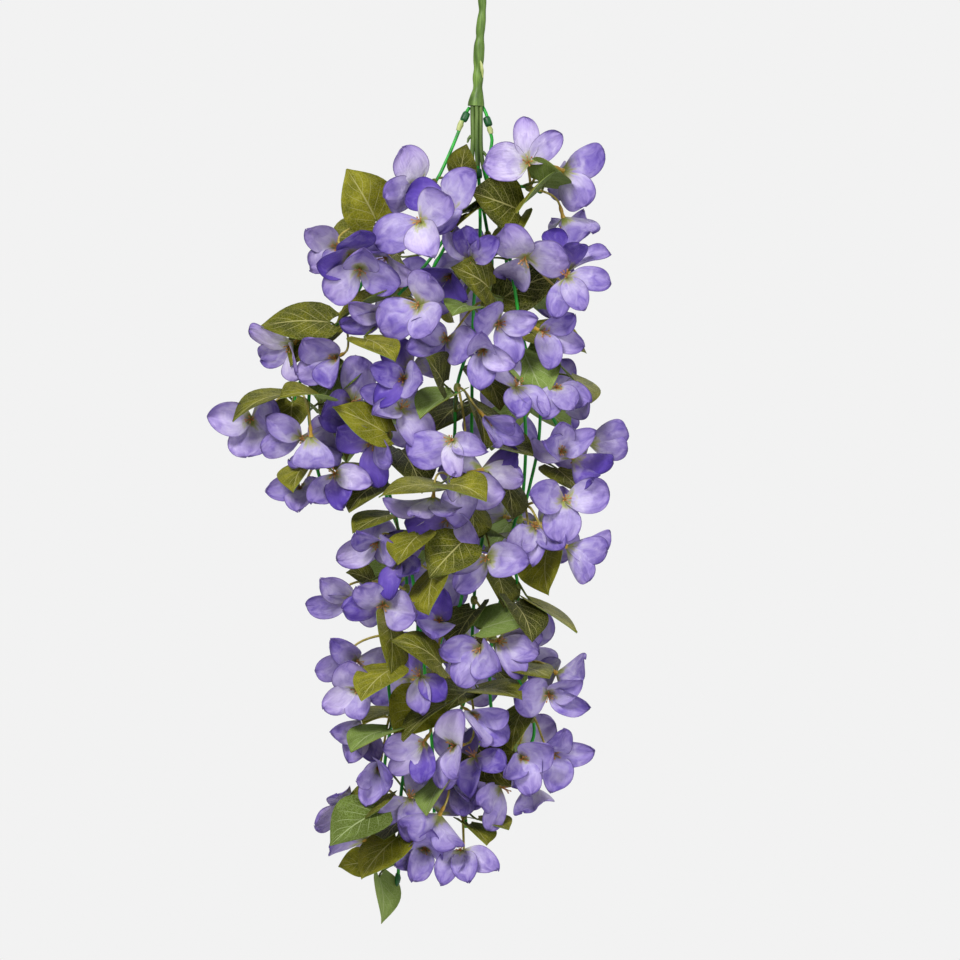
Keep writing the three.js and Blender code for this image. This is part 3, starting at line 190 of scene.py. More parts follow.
# Leaves of each strand: tone by letter, in capitals where the paler back shows; across and drop of the
# base and of the tip; the width seen, the depth, and the true length where it is short
leaves = {
    "left": [("g", -103, 222, -131, 173, 48, -30), ("e", -99, 229, -143, 236, 22, 8, 46),
        ("c", -22, 196, -18, 166, 26, -14, 34), ("c", -139, 322, -205, 328, 34, -32),
        ("e", -145, 323, -180, 358, 30, -3), ("B", -135, 360, -155, 400, 42, -14),
        ("e", -197, 395, -246, 416, 14, -33), ("e", -187, 399, -188, 430, 31, -17, 36),
        ("e", -156, 400, -192, 394, 8, -75), ("e", -164, 410, -130, 455, 16, -23),
        ("e", -172, 463, -188, 488, 20, -35), ("f", -152, 458, -132, 470, 18, 11)],
    "inner_left": [("e", -87, 298, -140, 318, 8, -43), ("e", -115, 340, -84, 356, 20, -74),
        ("g", -92, 434, -142, 408, 30, -74), ("c", -62, 388, -84, 408, 25, 30),
        ("e", -86, 514, -122, 526, 14, -36), ("e", -60, 534, -82, 558, 26, -86),
        ("e", -90, 620, -86, 665, 24, -78), ("e", -88, 666, -117, 692, 28, -95),
        ("e", -86, 708, -112, 718, 14, -34), ("F", -90, 727, -127, 752, 22, -72),
        ("c", -70, 774, -118, 809, 24, -64), ("A", -102, 808, -146, 832, 26, -84),
        ("c", -62, 270, -92, 248, 26, 14), ("c", -84, 442, -62, 478, 34, -22),
        ("c", -96, 480, -124, 498, 24, -18), ("c", -108, 580, -130, 571, 12, -30, 28),
        ("c", -90, 762, -72, 796, 24, 39)],
    "middle": [("e", -10, 214, -24, 236, 18, -31), ("c", 10, 290, -21, 272, 36, -36),
        ("c", 23, 298, 76, 272, 42, 0), ("D", -10, 308, -29, 313, 16, -65),
        ("F", -26, 395, -58, 416, 20, -62), ("c", -36, 385, -56, 364, 28, -64),
        ("c", 5, 446, 50, 455, 20, -33), ("c", -8, 402, 6, 440, 22, -33),
        ("e", -43, 486, -98, 492, 14, -99), ("e", -31, 484, 7, 491, 18, -121),
        ("e", -46, 571, -50, 610, 30, -81), ("e", -35, 664, -76, 632, 20, -87),
        ("f", -50, 697, -85, 730, 46, -50), ("c", -33, 700, -75, 732, 14, -83),
        ("e", -82, 834, -120, 868, 30, -52), ("e", -111, 861, -138, 862, 24, -28, 30),
        ("G", -101, 869, -98, 914, 20, -24, 46), ("c", -76, 816, -94, 832, 16, -26),
        ("c", -17, 540, -52, 556, 18, -86), ("c", -12, 498, -4, 530, 20, -44),
        ("c", 6, 202, -8, 238, 24, -12)],
    "centre": [("c", 25, 478, 35, 515, 27, -24), ("c", 10, 536, 42, 541, 11, -28),
        ("e", 2, 550, 27, 556, 10, -26), ("G", -4, 629, 52, 614, 26, -55),
        ("c", -10, 688, -28, 714, 30, -45), ("e", -2, 687, 42, 693, 14, -60),
        ("c", -2, 747, 26, 782, 30, -23), ("F", -33, 772, -55, 805, 18, -51),
        ("e", -13, 822, 4, 838, 16, -24), ("e", -8, 817, 22, 824, 8, -13),
        ("c", 0, 372, 22, 406, 30, -14), ("c", -14, 398, -42, 428, 30, 6),
        ("c", 28, 514, -2, 528, 20, -17, 34), ("c", 14, 566, 24, 600, 26, -12),
        ("c", -4, 608, -24, 642, 28, -26), ("c", 12, 668, 34, 684, 14, -22, 30)],
    "inner_right": [("c", 37, 210, -6, 198, 46, -30), ("f", 40, 216, 28, 247, 24, -17),
        ("e", 38, 262, -2, 255, 8, 15), ("e", 46, 332, 100, 347, 25, -17),
        ("F", 43, 352, 60, 398, 47, -36), ("e", 88, 376, 110, 402, 12, -30),
        ("g", 67, 547, 65, 590, 36, -26), ("c", 34, 602, 54, 636, 26, -52),
        ("e", 50, 600, 95, 630, 8, -20), ("e", 38, 664, 70, 672, 14, -43),
        ("e", 44, 706, 32, 744, 30, -26), ("c", 70, 462, 94, 486, 26, 3)],
    "right": [("f", 74, 176, 44, 203, 10, -20), ("e", 60, 183, 80, 200, 20, -22)],
}
stalkForm = {
    "stemLead": 30,  # stem above the level that drops are counted from
    "strandRadius": 1.5,
    "strandStep": 20,  # straight pieces of the solid strands
    "curveSteps": 200,  # by which a route's length is measured
    "beadRadius": 3.8,
    "beadSeat": 0.8,  # share of that radius at which a stalk begins
    "calyxLength": 13,
    "stalkRadius": 1.1,
    "stalkLeave": (0.3, 0.2),  # first handle, along the chord and upward, in shares of the chord
    "stalkArrive": 0.35,  # second handle, back along the bloom's axis
    "stalkArriveTurn": 0.4,  # it turns round the chord by less than the first
    "petioleOffset": 6,  # from a bead or sleeve
    "petioleNeck": 3,
    "petioleLead": 9,
    "petioleStart": 0.5,  # above the strand's skin
    "petioleTolerance": 0.3,
    "seatShifts": [0, 6, -6, 9, -9, 12, -12, 16, -16, 20, -20],
    "arches": [0, 45, -45, 90, -90, 135, 180],
}
bladeForm = {
    "thick": 0.9,  # of the solid blades
    "worstMiss": 4,  # a corner farther off than this counts no more
    "bractLength": 45,
    "bractWidth": 41,
    "bractFacing": 0.6,
    "bractFacesUp": 0.25,  # where it points within this angle of the camera
    "bractRoom": 1.1,  # share of the room between two bracts that one fills
    "bractWidestGap": 1.4,
    "bractLeastWidth": 8,
    "bloomFacing": 0.5,
    "hiddenReach": 0.6,  # how far a bract out of sight follows the bloom's axis
    "leafFromSeen": (30, 0.6),  # a leaf's length from the length seen
    "leafLongest": 58,
    "leafWidthShare": 0.88,
    "bractSpread": 1.2,
    "backBlooms": 2,
    "backBloomTurn": 0.25,  # in shares of the half circle between two
    "backBloomTilt": (-0.5, 0.35),
    "backBloomReach": (34, 48),
    "backBloomRoll": (0, 2),
    "backLeafTurn": (0.5, 1.1),
    "backLeafTilt": (-0.9, 0.2),
    "backLeafRoll": (-0.5, 0.5),
    "backLeafLength": (46, 58),
    "backLeafReach": 14,
    "bends": [0, 8, -8, 16, -16, 24, -24, 34, -34, 45, -45],
    "twists": [0, 15, -15, 30, -30, 45, -45],
    "bractRim": [[0.5, -0.94, 0.06], [0.95, -0.52, 0.02], [0.95, 0.52, 0.02], [0.5, 0.94, 0.06]],
    "leafRim": [[0, -0.56, 0.02], [0.36, -1, 0.06], [0.74, -0.52, 0.01], [1, 0, -0.1],
                [0.74, 0.52, 0.01], [0.36, 1, 0.06], [0, 0.56, 0.02]],
}


class Draw:
    # The same draws as the solids are placed by
    def __init__(self, seed):
        self.seed = seed

    def between(self, low, high):
        self.seed = (self.seed * 16807) % 2147483647
        return low + (high - low) * (self.seed / 2147483647)


def at(across, depth, drop):
    return Vector((across, depth, -stalkForm["stemLead"] - drop))


def turned(vector, axis, angle):
    return Quaternion(axis, angle) @ vector


def square(vector, along):
    return (vector - vector.dot(along) * along).normalized()


def heading(turn, rise):
    return Vector((math.cos(turn), math.sin(turn), rise)).normalized()


# Centripetal curve through a route's points
def routeCurve(route):
    points = [at(*point) for point in route]
    ends = [2 * points[0] - points[1]] + points + [2 * points[-1] - points[-2]]

    def place(share):
        scaled = share * (len(points) - 1)
        piece = min(int(scaled), len(points) - 2)
        t = scaled - piece
        p0, p1, p2, p3 = ends[piece:piece + 4]
        pairs = ((p0, p1), (p1, p2), (p2, p3))
        d0, d1, d2 = [max((b - a).length_squared ** 0.25, 1e-4) for a, b in pairs]
        m1 = ((p1 - p0) / d0 - (p2 - p0) / (d0 + d1) + (p2 - p1) / d1) * d1
        m2 = ((p2 - p1) / d1 - (p3 - p1) / (d1 + d2) + (p3 - p2) / d2) * d1
        return (p1 + m1 * t + (-3 * p1 + 3 * p2 - 2 * m1 - m2) * t ** 2
                + (2 * p1 - 2 * p2 + m1 + m2) * t ** 3)

    return place


# Points at even distances along a curve
def spaced(place, step):
    steps = stalkForm["curveSteps"]
    shares = [i / steps for i in range(steps + 1)]
    points = [place(share) for share in shares]
    lengths = [0]
    for before, after in zip(points, points[1:]):
        lengths.append(lengths[-1] + (after - before).length)
    count = math.ceil(lengths[-1] / step)
    found = []
    index = 0
    for i in range(count + 1):
        target = lengths[-1] * i / count
        while index < steps - 1 and lengths[index + 1] < target:
            index += 1
        span = lengths[index + 1] - lengths[index]
        found.append(place((index + (target - lengths[index]) / span) / steps))
    return found


paths = {name: [spaced(routeCurve(route), stalkForm["strandStep"]) for route in routes]
         for name, routes in strandRoutes.items()}


# Of several (error, found) the one that fits best: a later one has to beat it by the tolerance
def leastError(candidates, tolerance=1e-3):
    best = None
    for error, found in candidates:
        if best is None or error < best[0] - tolerance:
            best = (error, found)
    return best[1]


# Nearest place on a strand's straight pieces, and the way the strand runs there
def nearest(strand, point):
    candidates = []
    for path in paths[strand]:
        for a, b in zip(path, path[1:]):
            share = max(0, min(1, (point - a).dot(b - a) / (b - a).length_squared))
            place = a + (b - a) * share
            candidates.append(((place - point).length, (place, (b - a).normalized())))
    return leastError(candidates, 0)


def solidTree(node):
    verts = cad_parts[node].data.vertices
    tree = KDTree(len(verts))
    for vert in verts:
        tree.insert(vert.co / millimetre, vert.index)
    tree.balance()
    return tree


trees = {name: solidTree(name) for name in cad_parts}


# The bend and twist that a blade took in the solids, read from where its outline lies there
def settledBlade(node, blade, rim):
    side = blade["face"].cross(blade["along"])
    candidates = []
    for twist in bladeForm["twists"]:
        for bend in bladeForm["bends"]:
            along = turned(blade["along"], side, math.radians(bend))
            face = turned(turned(blade["face"], side, math.radians(bend)), along, math.radians(twist))
            across = face.cross(along)
            error = 0
            for u, v, lift in rim:
                middle = (blade["root"] + along * (u * blade["length"]) + across * (v * blade["width"] / 2)
                          + face * (lift * blade["length"]))
                for sign in (1, -1):
                    found = trees[node].find(middle + face * (sign * bladeForm["thick"] / 2))
                    error += min(found[2], bladeForm["worstMiss"])
            candidates.append((error, {**blade, "along": along, "face": face}))
    return leastError(candidates)


# The arch that a flower stalk took in the solids
def settledArch(node, start, end, way):
    chord = (end - start).normalized()
    span = (end - start).length
    ahead, rise = stalkForm["stalkLeave"]
    leave = start + chord * (span * ahead) + up * (span * rise)
    arrive = end - way * (span * stalkForm["stalkArrive"])
    candidates = []
    for angle in stalkForm["arches"]:
        handles = [start + turned(point - start, chord, math.radians(angle) * share)
                   for point, share in ((leave, 1), (arrive, stalkForm["stalkArriveTurn"]))]
        arch = [start, *handles, end]
        error = sum(abs(found[2] - stalkForm["stalkRadius"])
                    for found in trees[node].find_n(bezier(arch, 0.5), 3))
        candidates.append((error, arch))
    return leastError(candidates)


def bezier(arch, t):
    a, b, c, d = arch
    return a * (1 - t) ** 3 + b * (3 * t * (1 - t) ** 2) + c * (3 * t * t * (1 - t)) + d * t ** 3


def bractWay(right, rise, back=1):
    seen = math.hypot(right, rise)
    length = max(bladeForm["bractLength"], seen)
    return Vector((right, -back * math.sqrt(length ** 2 - seen ** 2), rise)).normalized()


# Axis of a bloom and the ways of its three bracts: those out of sight are set round the axis
def bloomWays(centre, bead, tips):
    ways = [bractWay(*tip) for tip in tips]
    outward = (centre - bead).normalized()
    guess = (outward + viewer * bladeForm["bloomFacing"]).normalized()
    if len(ways) == 1:
        ways += [turned(ways[0], guess, 2 * math.pi / 3), turned(ways[0], guess, -2 * math.pi / 3)]
    elif len(ways) == 2:
        ways.append((guess * bladeForm["hiddenReach"] - ways[0] - ways[1]).normalized())
    axis = (ways[1] - ways[0]).cross(ways[2] - ways[0]).normalized()
    return -axis if axis.dot(outward) < 0 else axis, ways


def bractWidths(ways, axis):
    widths = []
    for way in ways:
        own = square(way, axis)
        gap = min(own.angle(square(other, axis)) for other in ways if other is not way)
        slope = math.tan(min(gap / 2, bladeForm["bractWidestGap"]))
        reach = bladeForm["bractRoom"] * bladeForm["bractLength"] * math.sin(axis.angle(way))
        widths.append(max(bladeForm["bractLeastWidth"], min(bladeForm["bractWidth"], reach * slope)))
    return widths


# Every bloom by its bunch: middle, axis, stalk and three bracts as the solids have them
def makeBlooms(draw):
    plans = {}  # tones, middle, axis, ways and lengths of the bracts
    long = bladeForm["bractLength"]
    for bunch, (strand, place, rows) in bunches.items():
        plans[bunch] = []
        for tones, across, depth, drop, *tips in rows:
            centre = at(across, depth, drop)
            lengths = [max(long, math.hypot(tip[0], tip[1])) for tip in tips] + [long] * (3 - len(tips))
            plans[bunch].append((tones, centre, *bloomWays(centre, at(*place), tips), lengths))
    for bunch, (strand, place) in rearBunches.items():
        plans[bunch] = []
        for i in range(bladeForm["backBlooms"]):
            shift = bladeForm["backBloomTurn"]
            turn = (i + 0.5 + draw.between(-shift, shift)) / bladeForm["backBlooms"] * math.pi
            axis = heading(turn, draw.between(*bladeForm["backBloomTilt"]))
            centre = at(*place) + axis * draw.between(*bladeForm["backBloomReach"])
            first = turned(square(up, axis), axis, draw.between(*bladeForm["backBloomRoll"]))
            spread = bladeForm["bractSpread"]
            ways = [turned(first, axis, k * 2 * math.pi / 3) * math.sin(spread) + axis * math.cos(spread)
                    for k in range(3)]
            plans[bunch].append(("mmm", centre, axis, ways, [long] * 3))
    made = {bunch: [] for bunch in plans}
    for bunch, rows in plans.items():
        node = "bunch_" + bunch
        middle, way = nearest(*beads[bunch])
        for tones, centre, axis, ways, lengths in rows:
            calyxStart = centre - axis * stalkForm["calyxLength"]
            seat = stalkForm["beadRadius"] * stalkForm["beadSeat"]
            start = middle + square(calyxStart - middle, way) * seat
            bracts = []
            for tone, along, length, width in zip(tones, ways, lengths, bractWidths(ways, axis)):
                facing = axis + viewer * math.copysign(bladeForm["bractFacing"], axis.dot(viewer))
                upward = facing.angle(along) < bladeForm["bractFacesUp"]
                face = square(up if upward else facing, along)
                blade = dict(root=centre, along=along, face=face, length=length, width=width, tone=tone)
                bracts.append(settledBlade(node, blade, bladeForm["bractRim"]))
            arch = settledArch(node, start, calyxStart, axis)
            made[bunch].append(dict(centre=centre, axis=axis, arch=arch, bracts=bracts))
    return made


# Every leaf by its strand, with its petiole, as the solids have them
def makeLeaves(draw):
    plans = {strand: [] for strand in strandRoutes}  # tone, root, way, facing and length
    widthShare = bladeForm["leafWidthShare"]
    base, gain = bladeForm["leafFromSeen"]
    for strand, rows in leaves.items():
        for tone, baseX, baseDrop, tipX, tipDrop, seenWidth, depth, *small in rows:
            root, tip = at(baseX, depth, baseDrop), at(tipX, depth, tipDrop)
            seen = (tip - root).length
            length = max(seen, *(small or [min(bladeForm["leafLongest"], base + gain * seen)]))
            nearer = -math.sqrt(max(0, length ** 2 - seen ** 2))
            along = Vector((tip.x - root.x, nearer, tip.z - root.z)).normalized()
            roll = math.acos(min(1, seenWidth / (length * widthShare)))
            faces = [turned(square(viewer, along), along, angle) for angle in (roll, -roll)]
            plans[strand].append((tone, root, along, max(faces, key=lambda face: face.z), length))
    for strand, place in rearBunches.values():
        for side in (-1, 1):
            turn = math.pi / 2 - side * draw.between(*bladeForm["backLeafTurn"])
            along = heading(turn, draw.between(*bladeForm["backLeafTilt"]))
            root = at(*place) + along * bladeForm["backLeafReach"]
            face = turned(square(up, along), along, draw.between(*bladeForm["backLeafRoll"]))
            plans[strand].append(("e", root, along, face, draw.between(*bladeForm["backLeafLength"])))
    fittings = [place for _, place in beads.values()] + [at(*place) for _, *place in sleeves.values()]
    reach = stalkForm["strandRadius"] + stalkForm["petioleStart"]
    made = {strand: [] for strand in plans}
    for strand, rows in plans.items():
        node = "strand_" + strand
        for tone, root, along, face, length in rows:
            seat, way = nearest(strand, root)
            ahead = (root - seat).dot(along)
            root = root + along * max(0, stalkForm["petioleLead"] - ahead)
            neck = root - along * stalkForm["petioleNeck"]
            candidates = []
            for shift in stalkForm["seatShifts"]:
                spot = nearest(strand, seat + way * shift)[0]
                if any((fitting - spot).length <= stalkForm["petioleOffset"] for fitting in fittings):
                    continue
                leaving = spot + (neck - spot).normalized() * reach
                error = sum(found[2] for found in trees[node].find_n(leaving, 3))
                candidates.append((error, spot))
            seat = leastError(candidates, stalkForm["petioleTolerance"])
            blade = dict(root=root, along=along, face=face, length=length, width=length * widthShare,
                         tone=tone, petiole=[seat, neck, root])
            made[strand].append(settledBlade(node, blade, bladeForm["leafRim"]))
    return made


beads = {bunch: (strand, at(*place))
         for bunch, (strand, place, *_) in {**bunches, **rearBunches}.items()}
draw = Draw(17)
madeBlooms = makeBlooms(draw)
madeLeaves = makeLeaves(draw)
print("layout: blooms", sum(len(rows) for rows in madeBlooms.values()),
      "leaves", sum(len(rows) for rows in madeLeaves.values()))


def linearColour(hexColour):
    channels = [int(hexColour[i:i + 2], 16) / 255 for i in (1, 3, 5)]
    return [c / 12.92 if c <= 0.04045 else ((c + 0.055) / 1.055) ** 2.4 for c in channels] + [1]


modes = {"Math": "operation", "VectorMath": "operation", "MapRange": "interpolation_type",
         "Mix": "data_type"}


# Adds a node with its settings and links. A second word of its kind is its mode. Its inputs are values
# or other nodes' outputs, listed in order or by the socket's name or number
def addNode(tree, kind, inputs=(), stops=(), **settings):
    kind, *mode = kind.split()
    node = tree.nodes.new("ShaderNode" + kind)
    if mode:
        setattr(node, modes[kind], mode[0])
    for name, value in settings.items():
        setattr(node, name, value)
    for socket, value in inputs.items() if isinstance(inputs, dict) else enumerate(inputs):
        if isinstance(value, bpy.types.Node):
            value = value.outputs[0]
        if isinstance(value, bpy.types.NodeSocket):
            tree.links.new(value, node.inputs[socket])
        else:
            node.inputs[socket].default_value = value
    for index, (position, hexColour) in enumerate(stops):
        if index > 1:
            node.color_ramp.elements.new(1)
        node.color_ramp.elements[index].position = position
        node.color_ramp.elements[index].color = linearColour(hexColour)
    return node


def newMaterial(name):
    material = bpy.data.materials.new(name)
    material.use_nodes = True
    material.node_tree.nodes.clear()
    return material, material.node_tree


def finishMaterial(material, inputs):
    tree = material.node_tree
    addNode(tree, "OutputMaterial", {"Surface": addNode(tree, "BsdfPrincipled", inputs)})
    return material


apart = 4000  # millimetres over which the patterns of the blades are scattered


# Where a spot lies on a blade that is spread out flat, in millimetres, its share of the way along it
# and from its middle to its margin, and the tone of the blade
def bladePlace(tree, width, length):
    uv = addNode(tree, "UVMap", uv_map="bladeMap")
    across, along, _ = addNode(tree, "SeparateXYZ", [uv]).outputs
    vary = addNode(tree, "Attribute", attribute_name="vary")
    flat = addNode(tree, "CombineXYZ", [addNode(tree, "Math MULTIPLY", [share, size]) for share, size in (
        (across, width), (along, length), (vary.outputs["Fac"], apart))])
    off = addNode(tree, "Math ABSOLUTE", [addNode(tree, "Math MULTIPLY_ADD", [across, 2, -1])])
    return flat, along, off, addNode(tree, "Attribute", attribute_name="tone").outputs["Fac"]


bractCloth = {
    "pale": [(0, "#A6B058"), (0.1, "#C6CA98"), (0.22, "#E4DDF4"), (0.5, "#D8CBF0"), (0.8, "#BAA7E0"),
             (1, "#917CC6")],
    "deep": [(0, "#848E42"), (0.1, "#9A9088"), (0.22, "#8E77C8"), (0.5, "#7259BC"), (0.8, "#5A41AA"),
             (1, "#452E8C")],
    "edge": "#44306E",
    "vein": "#4E3A90",
    "veinGap": 1.7,  # millimetres from one pressed vein to the next
    "veinLength": 34,
    "veinLine": 0.024,  # wider draws each vein thicker
    "veinMix": 0.12,  # of the vein's colour over the dye
    "edgeSide": (0.93, 0.98),  # where the cut edge's colour begins and is full
    "edgeTip": (0.96, 0.99),
    "edgeMix": 0.62,
    "cloudSize": 13,  # of the darker and lighter clouds of the dye
    "cloudTone": 1.1,  # how far they mix pale and deep
    "streakShift": 0.12,  # how far streaks, clouds and the margin move the colours toward the claw
    "cloudShift": 0.6,
    "marginShift": 0.16,
    "shiftBack": 0.4,
    "veinPress": 0.3,  # shares of the relief
    "cloudPress": 2.5,
    "veinDepth": 0.5,
    "roughness": 0.62,
}


# Thin polyester cloth, dyed and then hot pressed: the dye clouds and fades to green at the claw,
# and the press leaves fine fanned ridges, so it looks matt, streaked and softly creased
def makeBractCloth(look):
    material, tree = newMaterial("dyed and pressed polyester cloth")
    flat, along, off, tone = bladePlace(tree, bladeForm["bractWidth"], bladeForm["bractLength"])
    streakScale = (1 / look["veinGap"], 1 / look["veinLength"], 1)
    streak = addNode(tree, "TexNoise", {
        "Vector": addNode(tree, "Mapping", {"Vector": flat, "Scale": streakScale}),
        "Scale": 1, "Detail": 5, "Roughness": 0.65})
    cloud = addNode(tree, "TexNoise", {"Vector": flat, "Scale": 1 / look["cloudSize"], "Detail": 5,
                                       "Distortion": 0.8})
    margin = addNode(tree, "Math POWER", [off, 4])
    shift = addNode(tree, "Math MULTIPLY_ADD", [streak, look["streakShift"], along])
    shift = addNode(tree, "Math MULTIPLY_ADD", [cloud, look["cloudShift"], shift])
    shift = addNode(tree, "Math MULTIPLY_ADD", [margin, look["marginShift"], shift])
    shift = addNode(tree, "Math SUBTRACT", [shift, look["shiftBack"]])
    cloudTone = addNode(tree, "Math MULTIPLY_ADD", [cloud, look["cloudTone"], -look["cloudTone"] / 2])
    cloudTone = addNode(tree, "Math ADD", [cloudTone, tone], use_clamp=True)
    colour = addNode(tree, "Mix RGBA", {
        0: cloudTone,
        6: addNode(tree, "ValToRGB", [shift], look["pale"]),
        7: addNode(tree, "ValToRGB", [shift], look["deep"])})
    ridge = addNode(tree, "Math ABSOLUTE", [addNode(tree, "Math SUBTRACT", [streak, 0.5])])
    line = addNode(tree, "MapRange SMOOTHSTEP", [ridge, look["veinLine"], 0])
    cover = addNode(tree, "Math MULTIPLY", [line, look["veinMix"]])
    colour = addNode(tree, "Mix RGBA", {0: cover, 6: colour.outputs[2], 7: linearColour(look["vein"])})
    edgeSide = addNode(tree, "MapRange SMOOTHSTEP", [off, *look["edgeSide"]])
    edgeTip = addNode(tree, "MapRange SMOOTHSTEP", [along, *look["edgeTip"]])
    cover = addNode(tree, "Math MAXIMUM", [edgeSide, edgeTip])
    cover = addNode(tree, "Math MULTIPLY", [cover, look["edgeMix"]])
    colour = addNode(tree, "Mix RGBA", {0: cover, 6: colour.outputs[2], 7: linearColour(look["edge"])})
    height = addNode(tree, "Math MULTIPLY_ADD", [line, -look["veinPress"], streak])
    height = addNode(tree, "Math MULTIPLY_ADD", [cloud, look["cloudPress"], height])
    bump = addNode(tree, "Bump", {"Height": height, "Strength": look["veinDepth"], "Distance": 0.0015})
    return finishMaterial(material, {
        "Base Color": colour.outputs[2], "Roughness": look["roughness"], "Specular IOR Level": 0.25,
        "Sheen Weight": 0.1, "Normal": bump})


leafCloth = {
    "face": ([(0, "#2C3104"), (0.25, "#4A4F08"), (0.5, "#6E6F0C"), (0.75, "#8E8C18"), (1, "#B0AC44")],
             "#C2BC7A"),  # the print from dark to light, then its veins
    "back": ([(0, "#52621F"), (0.5, "#7A9042"), (1, "#9CB264")], "#B2C088"),
    "veinMix": 0.72,
    "midribLine": (0.04, 0.015),  # where a vein begins and is full, from its middle
    "sideLine": (0.045, 0.014),
    "netLine": (0.09, 0.02),
    "sideVeins": 5,
    "sideRise": 0.5,  # how far they climb on their way to the margin
    "sideEnd": (0.95, 0.3),  # they fade out between these
    "netMix": 0.3,  # of the finest veins beside the others
    "netGap": 2.7,  # millimetres across a mesh of the finest veins
    "cloudSize": 16,  # of the darker patches of the print
    "cloudTone": 0.9,
    "mottleSize": 1.5,  # of its fine mottling
    "mottleTone": 0.7,
    "mottlePress": 0.3,  # shares of the relief
    "veinPress": 0.7,
    "roughness": 0.62,
}


# Polyester cloth printed with a leaf and pressed over a ribbed plate: its cream veins lie a little
# deeper than the blade between them, and the coating gives it a dull shine
def makeLeafCloth(name, stops, veinColour, look):
    material, tree = newMaterial(name)
    length = bladeForm["leafLongest"]
    flat, along, off, tone = bladePlace(tree, length * bladeForm["leafWidthShare"], length)
    cloud = addNode(tree, "TexNoise", {"Vector": flat, "Scale": 1 / look["cloudSize"], "Detail": 2})
    mottle = addNode(tree, "TexNoise", {"Vector": flat, "Scale": 1 / look["mottleSize"], "Detail": 3})
    shade = addNode(tree, "Math MULTIPLY_ADD", [cloud, look["cloudTone"], -look["cloudTone"] / 2])
    shade = addNode(tree, "Math MULTIPLY_ADD", [mottle, look["mottleTone"], shade])
    shade = addNode(tree, "Math SUBTRACT", [shade, look["mottleTone"] / 2])
    shade = addNode(tree, "Math ADD", [shade, tone], use_clamp=True)
    colour = addNode(tree, "ValToRGB", [shade], stops)
    rise = addNode(tree, "Math POWER", [off, 0.8])  # side veins curve upward
    near = addNode(tree, "Math MULTIPLY_ADD", [rise, -look["sideRise"], along])
    for kind, *value in (("MULTIPLY", look["sideVeins"]), ("FRACT",), ("SUBTRACT", 0.5), ("ABSOLUTE",)):
        near = addNode(tree, "Math " + kind, [near, *value])
    side = addNode(tree, "MapRange SMOOTHSTEP", [near, *look["sideLine"]])
    outer = addNode(tree, "MapRange SMOOTHSTEP", [off, *look["sideEnd"]])
    side = addNode(tree, "Math MULTIPLY", [side, outer])
    midrib = addNode(tree, "MapRange SMOOTHSTEP", [off, *look["midribLine"]])
    cells = addNode(tree, "TexVoronoi", {"Vector": flat, "Scale": 1 / look["netGap"]},
                    feature="DISTANCE_TO_EDGE")
    net = addNode(tree, "MapRange", [cells, *look["netLine"], 0, look["netMix"]])
    veins = addNode(tree, "Math MAXIMUM", [side, midrib])
    veins = addNode(tree, "Math MAXIMUM", [veins, net])
    cover = addNode(tree, "Math MULTIPLY", [veins, look["veinMix"]])
    colour = addNode(tree, "Mix RGBA", {0: cover, 6: colour, 7: linearColour(veinColour)})
    height = addNode(tree, "Math MULTIPLY", [mottle, look["mottlePress"]])
    height = addNode(tree, "Math MULTIPLY_ADD", [veins, -look["veinPress"], height])
    bump = addNode(tree, "Bump", {"Height": height, "Strength": 0.5, "Distance": 0.001})
    return finishMaterial(material, {"Base Color": colour.outputs[2], "Roughness": look["roughness"],
                                     "Specular IOR Level": 0.16, "Normal": bump})


plastics = {  # colours from low to high, roughness, and how far the mottling is drawn out along Z
    "stem": ("#3E5A18", "#5C7C2E", "#7FA045", 0.5, 8),
    "bundle": ("#38501A", "#55702C", "#728C44", 0.5, 8),
    "wire": ("#0F7A22", "#1FA42C", "#34C43E", 0.4, 5),
    "sleeve": ("#0F4020", "#185A2A", "#237338", 0.45, 2),
    "stub": ("#98A858", "#B4BE74", "#CCD494", 0.55, 2),
    "stalk": ("#9C8A34", "#B8A64E", "#CCBC72", 0.5, 2),
    "calyx": ("#B48A26", "#CCA236", "#D8B85A", 0.5, 2),
    "hub": ("#626E26", "#7E8A36", "#98A24E", 0.5, 1),
    "stamen": ("#B8743A", "#D09250", "#E2B278", 0.55, 1),
    "petiole": ("#465216", "#626E22", "#808A38", 0.5, 2),
}
mottleSize = 4  # millimetres across one patch of a plastic's mottling


# Polyethylene, moulded or drawn round its wire: mottled in long patches by the masterbatch and
# by handling, with a soft shine that the patches break up
def makePlastic(kind, low, middling, high, roughness, drawn):
    material, tree = newMaterial("polyethylene of the " + kind)
    scale = 1 / (mottleSize * millimetre)
    noise = addNode(tree, "TexNoise", {
        "Vector": addNode(tree, "Mapping", {
            "Vector": addNode(tree, "TexCoord").outputs["Object"],
            "Scale": (scale, scale, scale / drawn)}),
        "Scale": 1, "Detail": 3, "Roughness": 0.6})
    colour = addNode(tree, "ValToRGB", [noise], [(0.32, low), (0.5, middling), (0.68, high)])
    rough = addNode(tree, "Math MULTIPLY_ADD", [noise, 0.2, roughness - 0.1])
    bump = addNode(tree, "Bump", {"Height": noise, "Strength": 0.25, "Distance": 0.0005})
    return finishMaterial(material, {"Base Color": colour, "Roughness": rough, "Normal": bump})


materials = {kind: makePlastic(kind, *look) for kind, look in plastics.items()}
materials["bract"] = makeBractCloth(bractCloth)
for slot, side in (("leafUpper", "face"), ("leafUnder", "back")):
    materials[slot] = makeLeafCloth("printed polyester leaf, " + side, *leafCloth[side], leafCloth)
print("materials made:", len(materials))


